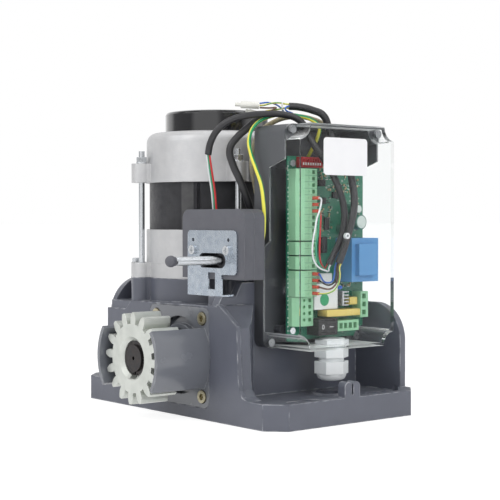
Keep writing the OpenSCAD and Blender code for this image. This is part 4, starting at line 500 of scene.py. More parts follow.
    GREEN_DOT = Finish("green sticker", (44, 158, 104), None, 0.3, 4.0, rough=(0.4, 0.5),
                       grain=0.3, depth=0.004, edge=0.1, slot="board_green")
    WHITE = Finish("white lead", (232, 233, 235), None, 0.4, 5.0, rough=(0.34, 0.46), grain=0.3,
                   depth=0.01, edge=0.1, slot="lead_white")
    RED = Finish("red lead", (196, 44, 48), None, 0.4, 5.0, rough=(0.34, 0.46), grain=0.3,
                 depth=0.01, edge=0.1, slot="lead_white")
    GREEN = Finish("green lead", (40, 152, 112), None, 0.4, 5.0, rough=(0.34, 0.46), grain=0.3,
                   depth=0.01, edge=0.1, slot="lead_white")
    BLUE_LEAD = Finish("blue lead", (56, 106, 196), None, 0.4, 5.0, rough=(0.34, 0.46),
                       grain=0.3, depth=0.01, edge=0.1, slot="lead_white")
    BROWN = Finish("brown lead", (104, 72, 58), None, 0.4, 5.0, rough=(0.34, 0.46), grain=0.3,
                   depth=0.01, edge=0.1, slot="lead_white")
    BLACK_LEAD = Finish("black lead", (40, 40, 42), None, 0.4, 5.0, rough=(0.34, 0.46), grain=0.3,
                        depth=0.01, edge=0.1, slot="cable_black")
    EARTH = StripedFinish("earth lead", (232, 226, 88), (220, 212, 72), 0.4, 5.0,
                          rough=(0.34, 0.46), grain=0.3, depth=0.01, edge=0.1,
                          slot="earth_yellow", twist=1.2, share=0.34)
    THIN_EARTH = StripedFinish("thin earth lead", (232, 220, 100), None, 0.4, 5.0,
                               rough=(0.34, 0.46), grain=0.3, depth=0.01, edge=0.1,
                               slot="earth_yellow", twist=2.0, share=0.34)
    TIN = Finish("tinned copper", (196, 196, 192), None, 0.5, 2.0, metal=0.9, rough=(0.26, 0.4),
                 grain=0.3, depth=0.01, edge=0.2, slot="zinc_white")


NODE_FINISHES = {
    "base_housing": Finishes.CASTING, "flange_guard": Finishes.GUARD,
    "flange_screws": Finishes.YELLOW_ZINC, "drive_gear": Finishes.PINION,
    "retaining_ring": Finishes.BLACK_STEEL, "drive_key": Finishes.STEEL,
    "output_shaft": Finishes.BLACK_STEEL, "front_bearing": Finishes.STEEL,
    "rear_bearing": Finishes.STEEL, "oil_seal": Finishes.RUBBER, "worm_wheel": Finishes.BRONZE,
    "worm": Finishes.STEEL, "worm_shaft": Finishes.STEEL, "rotor_core": Finishes.STEEL,
    "stator_core": Finishes.STACK, "stator_windings": Finishes.COPPER,
    "lower_shield": Finishes.SHIELD, "upper_shield": Finishes.SHIELD,
    "foot_bearing": Finishes.STEEL, "lower_motor_bearing": Finishes.STEEL,
    "upper_motor_bearing": Finishes.STEEL, "top_cap": Finishes.CAP,
    "top_cap_screws": Finishes.ZINC, "tie_rods": Finishes.ZINC, "tie_rod_nuts": Finishes.ZINC,
    "shield_bolts": Finishes.ZINC, "run_capacitor": Finishes.CAPACITOR,
    "limit_case_front": Finishes.CASE, "limit_case_rear": Finishes.CASE,
    "limit_bracket": Finishes.PLATE, "limit_screws": Finishes.ZINC,
    "limit_lever": Finishes.CASE, "lever_spring": Finishes.ZINC, "lever_tip": Finishes.CASE,
    "limit_switches": Finishes.BLACK_PLASTIC, "box_base": Finishes.SHELL,
    "box_cover": Finishes.CLEAR, "cover_screws": Finishes.SCREW, "box_screws": Finishes.ZINC,
    "circuit_board": Finishes.BOARD, "board_screws": Finishes.ZINC,
    "terminal_blocks": Finishes.TERMINAL, "ferrules": Finishes.FERRULE,
    "dip_switch": Finishes.RED_SWITCH, "transformer": Finishes.BLUE, "relay": Finishes.RELAY,
    "board_capacitors": Finishes.YELLOW, "heatsink": Finishes.FIN,
    "rocker_frame": Finishes.BLACK_PLASTIC, "rocker_button": Finishes.BLACK_PLASTIC,
    "gland_body": Finishes.GLAND, "gland_locknut": Finishes.GLAND, "gland_nut": Finishes.GLAND,
    "gland_seal": Finishes.RUBBER,
}


class Bench:
    """Modelling steps on Blender's own operators. A piece ends with its place in its mesh."""

    @staticmethod
    def clear() -> None:
        """Deselects everything, so that an operator only meets what it is meant for."""
        bpy.ops.object.select_all(action="DESELECT")

    @staticmethod
    def settle(piece: bpy.types.Object) -> bpy.types.Object:
        """Puts a piece's place, turn and scale into its mesh."""
        Bench.clear()
        piece.select_set(True)
        bpy.context.view_layer.objects.active = piece
        bpy.ops.object.transform_apply(location=True, rotation=True, scale=True)
        return piece

    @staticmethod
    def soften(piece: bpy.types.Object, width: float, segments: int = 2) -> bpy.types.Object:
        """Rounds a piece's edges by width millimetres and shades it smooth by angle."""
        bevel = piece.modifiers.new("round", "BEVEL")
        bevel.width = width * MM
        bevel.segments = segments
        bevel.limit_method = "ANGLE"
        Bench.clear()
        piece.select_set(True)
        bpy.context.view_layer.objects.active = piece
        bpy.ops.object.modifier_apply(modifier=bevel.name)
        bpy.ops.object.shade_smooth_by_angle(angle=math.radians(35))
        return piece

    @staticmethod
    def block(name: str, low: Point, high: Point, soft: float = 0.4) -> bpy.types.Object:
        """A block with rounded edges.

        Args:
            name: The piece's name.
            low: Its lowest corner in millimetres.
            high: Its highest corner in millimetres.
            soft: The rounding of its edges in millimetres.

        Returns:
            The piece.
        """
        Bench.clear()
        bpy.ops.mesh.primitive_cube_add(size=1, location=(metres(low) + metres(high)) / 2)
        piece = bpy.context.active_object
        piece.name = name
        piece.scale = metres(high) - metres(low)
        Bench.settle(piece)
        return Bench.soften(piece, soft) if soft else piece

    @staticmethod
    def plate(name: str, low: Point, high: Point, corner: float) -> bpy.types.Object:
        """A thin plate that faces +X, with rounded corners.

        Args:
            name: The piece's name.
            low: Its lowest corner in millimetres.
            high: Its highest corner in millimetres.
            corner: The rounding of its corners in millimetres.

        Returns:
            The piece.
        """
        piece = Bench.block(name, low, high, 0)
        for edge in piece.data.edges:
            start, end = (piece.data.vertices[i].co for i in edge.vertices)
            edge.select = abs(start.x - end.x) > 0.5 * (high[0] - low[0]) * MM
        Bench.round_selected(piece, corner, 6)
        bpy.ops.object.shade_smooth_by_angle(angle=math.radians(35))
        return piece

    @staticmethod
    def round_selected(piece: bpy.types.Object, width: float, segments: int) -> None:
        """Bevels the edges that are selected on a piece by width millimetres."""
        picked = [edge.select for edge in piece.data.edges]
        bpy.ops.object.mode_set(mode="EDIT")
        bpy.ops.mesh.select_mode(type="EDGE")
        bpy.ops.mesh.select_all(action="DESELECT")
        bpy.ops.object.mode_set(mode="OBJECT")
        for edge, pick in zip(piece.data.edges, picked):
            edge.select = pick
        bpy.ops.object.mode_set(mode="EDIT")
        bpy.ops.mesh.bevel(offset=width * MM, segments=segments, affect="EDGES")
        bpy.ops.object.mode_set(mode="OBJECT")

    @staticmethod
    def turned(name: str, profile: list[tuple[float, float]], base: Point, axis: str,
               steps: int = 24, sweep: float = 360, start: float = 0) -> bpy.types.Object:
        """A round piece, spun from its half outline.

        Args:
            name: The piece's name.
            profile: Pairs of radius and height in millimetres, from foot to top.
            base: The point that heights are counted from.
            axis: The frame axis that heights run along: X, Y or Z, or -X, -Y or -Z.
            steps: How many faces go round.
            sweep: How far it goes round in degrees. Under 360 the profile is a closed outline.
            start: The angle where it starts, in degrees.

        Returns:
            The piece.
        """
        mesh = bpy.data.meshes.new(name)
        rims = [(r * MM, 0, h * MM) for r, h in profile]
        ring = [list(range(len(rims)))] if sweep < 360 else []
        mesh.from_pydata(rims, [] if ring else [(i, i + 1) for i in range(len(rims) - 1)], ring)
        mesh.transform(Matrix.Rotation(math.radians(start), 4, "Z"))
        piece = bpy.data.objects.new(name, mesh)
        bpy.context.scene.collection.objects.link(piece)
        Bench.clear()
        piece.select_set(True)
        bpy.context.view_layer.objects.active = piece
        bpy.ops.object.mode_set(mode="EDIT")
        bpy.ops.mesh.select_all(action="SELECT")
        bpy.ops.mesh.spin(steps=steps, angle=math.radians(sweep), center=(0, 0, 0), axis=(0, 0, 1))
        bpy.ops.mesh.select_all(action="SELECT")
        bpy.ops.mesh.remove_doubles(threshold=0.00001)
        bpy.ops.mesh.normals_make_consistent(inside=False)
        bpy.ops.object.mode_set(mode="OBJECT")
        aims = {"X": (1, 0, 0), "Y": (0, 1, 0), "Z": (0, 0, 1)}
        aim = Vector(aims[axis[-1]]) * (-1 if axis.startswith("-") else 1)
        turn = Vector((0, 0, 1)).rotation_difference(aim).to_matrix().to_4x4()
        piece.data.transform(Matrix.Translation(metres(base)) @ turn)
        bpy.ops.object.shade_smooth_by_angle(angle=math.radians(35))
        return piece

    @staticmethod
    def tube(name: str, route: Route, width: float, sides: int = 6,
             widths: tuple[float, ...] = (), smooth: int = 6) -> bpy.types.Object:
        """A round lead along a smooth route.

        Args:
            name: The piece's name.
            route: The points that its middle line passes, in millimetres.
            width: Its diameter in millimetres.
            sides: Half as many faces as go round it.
            widths: The share of that width at each point, where it isn't the same all along.
            smooth: How many steps lie between two points.

        Returns:
            The piece, as a mesh.
        """
        curve = bpy.data.curves.new(name, "CURVE")
        curve.dimensions = "3D"
        curve.bevel_depth = width / 2 * MM
        curve.bevel_resolution = max(1, sides // 2)
        curve.resolution_u = smooth
        curve.use_fill_caps = True
        spline = curve.splines.new("BEZIER")
        spline.bezier_points.add(len(route) - 1)
        kind = "VECTOR" if widths else "AUTO"
        for number, (knot, point) in enumerate(zip(spline.bezier_points, route)):
            knot.co = metres(point)
            knot.radius = widths[number] if widths else 1
            knot.handle_left_type = kind
            knot.handle_right_type = kind
        piece = bpy.data.objects.new(name, curve)
        bpy.context.scene.collection.objects.link(piece)
        Bench.clear()
        piece.select_set(True)
        bpy.context.view_layer.objects.active = piece
        bpy.ops.object.convert(target="MESH")
        bpy.ops.object.shade_smooth()
        return piece

    @staticmethod
    def repeat(master: bpy.types.Object, steps: list[Point]) -> bpy.types.Object:
        """Copies a piece to each step from its place, with a mesh of its own, as one piece."""
        copies = [master]
        for step in steps:
            copy = master.copy()
            copy.data = master.data.copy()
            copy.data.transform(Matrix.Translation(metres(step)))
            bpy.context.scene.collection.objects.link(copy)
            copies.append(copy)
        return Bench.joined(master.name, copies)

    @staticmethod
    def joined(name: str, pieces: list[bpy.types.Object]) -> bpy.types.Object:
        """Joins pieces of one finish into one."""
        Bench.clear()
        for piece in pieces:
            piece.select_set(True)
        bpy.context.view_layer.objects.active = pieces[0]
        bpy.ops.object.join()
        pieces[0].name = name
        return pieces[0]

    @staticmethod
    def dress(piece: bpy.types.Object, finish: Finish | ClearFinish, body: Body,
              replaces: tuple[str, ...] = ()) -> bpy.types.Object:
        """Gives a new piece its finish and its body.

        Args:
            piece: The piece.
            finish: What it is finished in.
            body: The body that it rides on.
            replaces: The solids that it stands for.

        Returns:
            The piece.
        """
        piece.data.materials.clear()
        piece.data.materials.append(finish.build())
        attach(piece, body.value)
        if replaces:
            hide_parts(*replaces)
        log.info("%s: %d faces, %s", piece.name, len(piece.data.polygons), finish.name)
        return piece


@dataclass
class Studio:
    """The camera at the photograph's place, the lamps and the pale floor."""

    eye: Point = (851.9, -694.1, 156.7)
    turn: float = 50.6
    dip: float = 1.36
    lens: float = 93.9
    level: float = 0.62
    boxes: int = 3
    box_turn: float = 62
    gap_share: float = 0.7
    floor_size: float = 60
    floor_drop: float = 0.4
    floor_colour: Colour = (246, 246, 247)
    floor_glow: float = 1.34
    lamps: tuple[tuple[Point, float, float], ...] = (
        ((-300, -1500, 1100), 1100, 11.0),
        ((1700, -300, 1200), 1200, 12.0),
        ((100, 300, 1700), 1500, 9.0),
    )

    def camera(self) -> None:
        """Places the camera."""
        data = bpy.data.cameras.new("camera")
        data.lens = self.lens
        data.sensor_width = 36
        data.clip_start = 0.01
        eye = bpy.data.objects.new("camera", data)
        eye.location = metres(self.eye)
        eye.rotation_euler = (math.radians(90 - self.dip), 0, math.radians(self.turn))
        bpy.context.scene.collection.objects.link(eye)
        bpy.context.scene.camera = eye
        bpy.context.scene.view_settings.view_transform = "Standard"

    @staticmethod
    def seen(sketch: Sketch, path: bpy.types.Node) -> bpy.types.NodeSocket:
        """One where the camera sees a surface, straight, mirrored or through something clear."""
        straight = sketch.maths("MAXIMUM", path.outputs["Is Camera Ray"], path.outputs["Is Glossy Ray"])
        return sketch.maths("MAXIMUM", straight, path.outputs["Is Transmission Ray"])

    def gaps(self, sketch: Sketch, path: bpy.types.Node) -> bpy.types.NodeSocket:
        """What a mirrored ray loses between the three tall soft boxes that stand round the object."""
        way = sketch.node("TexCoord").outputs["Generated"]
        part = sketch.node("SeparateXYZ", {0: way})
        azimuth = sketch.maths("ARCTAN2", part.outputs["Y"], part.outputs["X"])
        turned = sketch.maths("ADD", azimuth, math.radians(self.box_turn))
        wave = sketch.maths("COSINE", sketch.maths("MULTIPLY", turned, self.boxes))
        dim = sketch.spread(wave, self.gap_share, 0.0, -0.3, 0.3)
        mirrored = sketch.maths("SUBTRACT", path.outputs["Is Glossy Ray"],
                                path.outputs["Is Transmission Ray"], clamp=True)
        return sketch.maths("MULTIPLY", dim, mirrored)

    def light(self) -> None:
        """Hangs the soft lamps and sets the world."""
        for number, (place, size, power) in enumerate(self.lamps):
            data = bpy.data.lights.new(f"lamp {number}", "AREA")
            data.size = size * MM
            data.energy = power
            lamp = bpy.data.objects.new(data.name, data)
            lamp.location = metres(place)
            aim = metres((0, 0, 100)) - lamp.location
            lamp.rotation_euler = aim.to_track_quat("-Z", "Y").to_euler()
            bpy.context.scene.collection.objects.link(lamp)
        world = bpy.data.worlds.new("studio")
        bpy.context.scene.world = world
        world.use_nodes = True
        sketch = Sketch(world.node_tree)
        path = sketch.node("LightPath")
        plain = sketch.spread(Studio.seen(sketch, path), self.level, 1.0)
        strength = sketch.maths("SUBTRACT", plain, self.gaps(sketch, path))
        back = world.node_tree.nodes["Background"]
        back.inputs["Color"].default_value = (1, 1, 1, 1)
        sketch.tree.links.new(strength, back.inputs["Strength"])

    def floor(self) -> None:
        """Lays the pale floor, which stays white and keeps the object's shadow."""
        Bench.clear()
        bpy.ops.mesh.primitive_plane_add(size=self.floor_size, location=metres((0, 0, -self.floor_drop)))
        floor = bpy.context.active_object
        floor.name = "floor"
        material = bpy.data.materials.new("pale floor")
        material.use_nodes = True
        sketch = Sketch(material.node_tree)
        shader = material.node_tree.nodes["Principled BSDF"]
        shader.inputs["Base Color"].default_value = linear(self.floor_colour)
        shader.inputs["Roughness"].default_value = 0.8
        glow = sketch.node("Emission", {"Color": (1, 1, 1, 1), "Strength": self.floor_glow})
        path = sketch.node("LightPath")
        seen = Studio.seen(sketch, path)
        share = sketch.maths("MULTIPLY", seen, self.level)
        mixed = sketch.node("MixShader", {0: share, 1: shader.outputs[0], 2: glow.outputs[0]})
        out = material.node_tree.nodes["Material Output"]
        sketch.tree.links.new(mixed.outputs[0], out.inputs["Surface"])
        floor.data.materials.append(material)

    def build(self) -> None:
        """Builds the whole studio."""
        self.camera()
        self.light()
        self.floor()


@dataclass
class Motor:
    """The seam strip on the black stator stack, painted paler as a highlight where light reflects off
    it.
    """

    middle: tuple[float, float] = (-27, -9)
    radius: float = 56.9
    proud: float = 0.3
    foot: float = 148.3
    top: float = 186.7
    start: float = -57
    sweep: float = 11

    def build(self) -> None:
        """Lays the seam strip, with its painted highlight, on the stack."""
        out = self.radius + self.proud
        outline = [(self.radius, self.foot), (out, self.foot), (out, self.top), (self.radius, self.top)]
        # Painted highlight: this paler strip stands for light reflected off the stack, over its bare
        # seam.
        seam = Bench.turned("stack_seam_highlight", outline, (*self.middle, 0), "Z", 6, self.sweep, self.start)
        Bench.dress(seam, Finishes.SEAM_HIGHLIGHT, Body.FRAME)


@dataclass
class LimitSwitch:
    """The close-wound spring of the limit rod."""

    rod: tuple[float, float] = (47, 124.4)
    front: float = -107.3
    back: float = -62.9
    width: float = 7
    wire: float = 1.2
    knots: int = 6

    def build(self) -> None:
        """Winds the spring in place of the grooved solid."""
        x, z = self.rod
        turns = (self.back - self.front) / self.wire - 1
        ring = (self.width - self.wire) / 2
        route = []
        for knot in range(int(turns * self.knots) + 1):
            angle = math.tau * knot / self.knots
            y = self.front + self.wire / 2 + self.wire * knot / self.knots
            route.append((x + ring * math.cos(angle), y, z + ring * math.sin(angle)))
        spring = Bench.tube("rod_spring", route, self.wire, 4, smooth=3)
        Bench.dress(spring, Finishes.ZINC, Body.ROD, ("lever_spring",))


@dataclass
class ControlBox:
    """What the clear box carries besides the solids: label, buttons, marks and board parts."""

    board: float = 81.6
    label: tuple[Point, Point] = ((115, -15.9, 190.6), (115.12, 30.7, 219.5))
    label_corner: float = 3
    boss: Point = (110.1, 11.3, 143.5)
    sticker: Point = (90, 7.8, 92.6)
    sticker_radius: float = 4.8
    dip_low: tuple[float, float] = (-13.7, 199.1)
    dip_size: float = 22.5
    dip_depth: tuple[float, float] = (84.6, 87)
    dip_lever: tuple[float, float] = (1, 2)
    dip_first_share: float = 0.074
    dip_step_share: float = 0.1129
    dip_ways: int = 8
    block_face: float = 94
    way_pitch: float = 5.08
    first_way: float = 2.6
    button_spot: tuple[float, float] = (92, -13.5)
    line_span: tuple[float, float] = (-17, -4.1)
    line_half: float = 0.14
    way_spans: tuple[tuple[float, int], ...] = ((116.3, 4), (127.6, 2), (138.9, 2), (196, 11))
    cans: tuple[tuple[float, float, float, float], ...] = (
        (40.4, 154.3, 6, 17), (41.2, 164.8, 4, 13), (32, 148.5, 4, 11))
    films: tuple[tuple[Point, Point], ...] = (
        ((81.6, 7.6, 79), (93.6, 44, 84.5)), ((81.6, 36, 87.5), (89.6, 44.6, 93.8)))
    chips: tuple[tuple[float, float, float, float], ...] = (
        (11.2, 185.5, 7, 5), (13, 171.2, 5, 5), (16.5, 153, 5, 10), (27.5, 176, 9, 5))
    scatter: tuple[tuple[float, float, float, float], ...] = (
        (2, 12, 182, 194), (6, 50, 188, 201), (18, 24, 140, 185), (24, 50, 171, 186),
        (0, 16, 144, 166), (0, 7, 118, 143), (46.5, 55, 146, 200), (28, 56, 101.5, 105.5))
    rocker: Point = (93.1, 6.5, 71.5)
    rocker_turn: float = -12
    seed: int = 7

    def stickers(self) -> None:
        """Sticks on the bare label and the bare round sticker."""
        label = Bench.plate("bare_label", *self.label, self.label_corner)
        Bench.dress(label, Finishes.LABEL, Body.FRAME)
        r = self.sticker_radius
        disc = [(0, 0), (r, 0), (r, 0.08), (r - 0.1, 0.12), (0, 0.12)]
        sticker = Bench.turned("round_sticker", disc, self.sticker, "X", 32)
        Bench.dress(sticker, Finishes.GREEN_DOT, Body.FRAME)

    def moulded_boss(self) -> None:
        """Moulds the ring inside the front of the cover."""
        ring = [(1.2, 0), (2.2, 0), (2.4, 0.3), (2.4, 2.9), (1.2, 2.9), (1.2, 0)]
        Bench.dress(Bench.turned("cover_ring", ring, self.boss, "X", 24), Finishes.FROST, Body.FRAME)

    def dip_levers(self) -> None:
        """Sets the white levers of the switch row."""
        y, z = self.dip_low
        near, far = self.dip_depth
        wide, high = self.dip_lever
        first = y + self.dip_size * self.dip_first_share
        lever = Bench.block("dip_levers", (near, first, z), (far, first + wide, z + high), 0.15)
        step = self.dip_size * self.dip_step_share
        steps = [(0, step * k, 0) for k in range(1, self.dip_ways)]
        Bench.dress(Bench.repeat(lever, steps), Finishes.MARK, Body.FRAME)

    def terminals(self) -> None:
        """Adds a release button to each pole and painted shade lines in the gaps between the poles."""
        buttons = []
        lines = []
        for top, poles in self.way_spans:
            for pole in range(poles):
                z = top - self.first_way - pole * self.way_pitch
                buttons.append((0, 0, z))
                if pole:
                    lines.append((0, 0, z + self.way_pitch / 2))
        rim = [(0, 0), (1.25, 0), (1.25, 1.6), (1.1, 1.8), (0.5, 1.85), (0, 1.8)]
        button = Bench.turned("release_buttons", rim, (*self.button_spot, buttons[0][2]), "X", 12)
        base = Vector(buttons[0])
        steps = [tuple(Vector(spot) - base) for spot in buttons[1:]]
        Bench.dress(Bench.repeat(button, steps), Finishes.TERMINAL, Body.FRAME)
        # Painted shade: thin darker strips where the gaps between the poles fall into shadow.
        left, right = self.line_span
        low = (self.block_face - 0.2, left, lines[0][2] - self.line_half)
        high = (self.block_face + 0.03, right, lines[0][2] + self.line_half)
        line = Bench.block("pole_gap_shade", low, high, 0.04)
        base = Vector(lines[0])
        steps = [tuple(Vector(spot) - base) for spot in lines[1:]]
        Bench.dress(Bench.repeat(line, steps), Finishes.TERMINAL_GAP_SHADE, Body.FRAME)

    def capacitors(self) -> None:
        """Stands the round capacitors and the yellow ones on the board."""
        names = ("board_capacitors",)
        for number, (y, z, r, rise) in enumerate(self.cans):
            rim = [(0, 0), (r, 0), (r, 1.4), (r - 0.3, 1.8), (r, 2.2), (r, rise - 0.7),
                   (r - 0.6, rise - 0.2), (r - 0.9, rise - 0.3), (0, rise - 0.3)]
            can = Bench.turned(f"can_{number}", rim, (self.board, y, z), "X", 28)
            Bench.dress(can, Finishes.CAN, Body.FRAME, names)
            top = [(0, 0), (r - 1, 0), (r - 1, 0.2), (0, 0.25)]
            lid = Bench.turned(f"can_top_{number}", top, (self.board + rise - 0.35, y, z), "X", 28)
            Bench.dress(lid, Finishes.CAN_TOP, Body.FRAME, names)
        for number, (low, high) in enumerate(self.films):
            film = Bench.block(f"film_{number}", low, high, 0.7)
            Bench.dress(film, Finishes.YELLOW, Body.FRAME, names)

    def board_parts(self) -> None:
        """Adds the chips with their legs, the small tall parts and the edge pads."""
        shells = []
        legs = []
        for y, z, wide, high in self.chips:
            low = (self.board + 0.2, y - wide / 2, z - high / 2)
            shells.append(Bench.block("chips", low, (self.board + 2.1, y + wide / 2, z + high / 2), 0.2))
            count = max(2, int(high / 1.27))
            for side in (-1, 1):
                at = y + side * (wide / 2 + 0.35)
                for k in range(count):
                    up = z + (k - (count - 1) / 2) * 1.27
                    legs.append(Bench.block("chip_legs", (self.board, at - 0.45, up - 0.2),
                                            (self.board + 0.7, at + 0.45, up + 0.2), 0.08))
        buzzer = Bench.block("chips", (self.board, 8.5, 129.6), (86, 14.7, 142.6), 0.5)
        Bench.dress(Bench.joined("chips", shells + [buzzer]), Finishes.BLACK_PLASTIC, Body.FRAME)
        socket = Bench.block("relay_socket", (self.board, 5, 105.6), (88.5, 17.5, 113.5), 0.6)
        Bench.dress(socket, Finishes.RELAY, Body.FRAME)
        disc = [(0, 0), (2.9, 0), (3.4, 0.6), (3.4, 2.2), (2.9, 2.8), (0, 2.8)]
        varistor = Bench.turned("blue_disc", disc, (85.8, 26.5, 100.3), "Z", 24)
        Bench.dress(varistor, Finishes.BLUE_LEAD, Body.FRAME)
        for side in (-1, 1):
            legs.append(Bench.block("chip_legs", (self.board, 26.2 + side * 1.5, 101.4),
                                    (83.6, 26.7 + side * 1.5, 101.9), 0.1))
        Bench.dress(Bench.joined("chip_legs", legs), Finishes.TIN, Body.FRAME)
        low = (self.board - 0.1, -22.6, 65)
        pads = Bench.block("edge_pads", low, (self.board + 0.06, -21.9, 66.1), 0.02)
        steps = [(0, 0, 3.4 * k) for k in range(1, 41) if k % 5]
        Bench.dress(Bench.repeat(pads, steps), Finishes.MARK, Body.FRAME)

    def small_parts(self) -> None:
        """Scatters resistors, small capacitors, print marks and solder pads over the free areas of the
        board.
        """
        dice = random.Random(self.seed)
        kinds = (("resistors", (0.5, 1.6, 0.8), Finishes.BLACK_PLASTIC),
                 ("small_capacitors", (0.9, 0.9, 1.7), Finishes.TAN),
                 ("print_marks", (0.04, 2.4, 0.3), Finishes.MARK),
                 ("solder_pads", (0.12, 0.7, 0.7), Finishes.TIN))
        for name, (rise, wide, high), finish in kinds:
            pieces = []
            for y0, y1, z0, z1 in self.scatter:
                for _ in range(max(3, int((y1 - y0) * (z1 - z0) / 26))):
                    y = dice.uniform(y0, y1 - wide)
                    z = dice.uniform(z0, z1 - high)
                    pieces.append((y, z))
            y, z = pieces[0]
            master = Bench.block(name, (self.board - 0.1, y, z),
                                 (self.board + rise, y + wide, z + high), min(0.12, rise / 4))
            steps = [(0, at[0] - y, at[1] - z) for at in pieces[1:]]
            Bench.dress(Bench.repeat(master, steps), finish, Body.FRAME)

    def rocker_marks(self) -> None:
        """Prints the ring and the bar on the two halves of the rocker."""
        turn = math.radians(self.rocker_turn)
        ring = [(1.05, 0), (1.5, 0), (1.5, 0.08), (1.05, 0.08), (1.05, 0)]
        mark = Bench.turned("mark_off", ring, (0, 0, 0), "X", 24)
        mark.data.transform(Matrix.Diagonal((1, 0.8, 1.25, 1)))
        self.set_mark(mark, turn, -3.8, 0.206)
        bar = Bench.block("mark_on", (0, -1.6, -0.25), (0.08, 1.6, 0.25), 0.03)
        self.set_mark(bar, turn, 3.8, -0.206)

    def set_mark(self, mark: bpy.types.Object, turn: float, side: float, lean: float) -> None:
        """Lays a mark on one half of the rocker.

        Args:
            mark: The mark, made about the origin and facing +X.
            turn: The rocker's own turn at rest, in radians.
            side: How far along the rocker it lies, in millimetres.
            lean: The sideways part of the face's normal.
        """
        spot = Matrix.Translation(metres(self.rocker)) @ Matrix.Rotation(turn, 4, "Z")
        spot = spot @ Matrix.Translation(metres((2.45, side, 0)))
        mark.data.transform(spot @ Matrix.Rotation(math.asin(lean), 4, "Z"))
        Bench.dress(mark, Finishes.MARK, Body.ROCKER)

    def build(self) -> None:
        """Builds everything on and in the box."""
        self.stickers()
        self.moulded_boss()
        self.dip_levers()
        self.terminals()
        self.capacitors()
        self.board_parts()
        self.small_parts()
        self.rocker_marks()


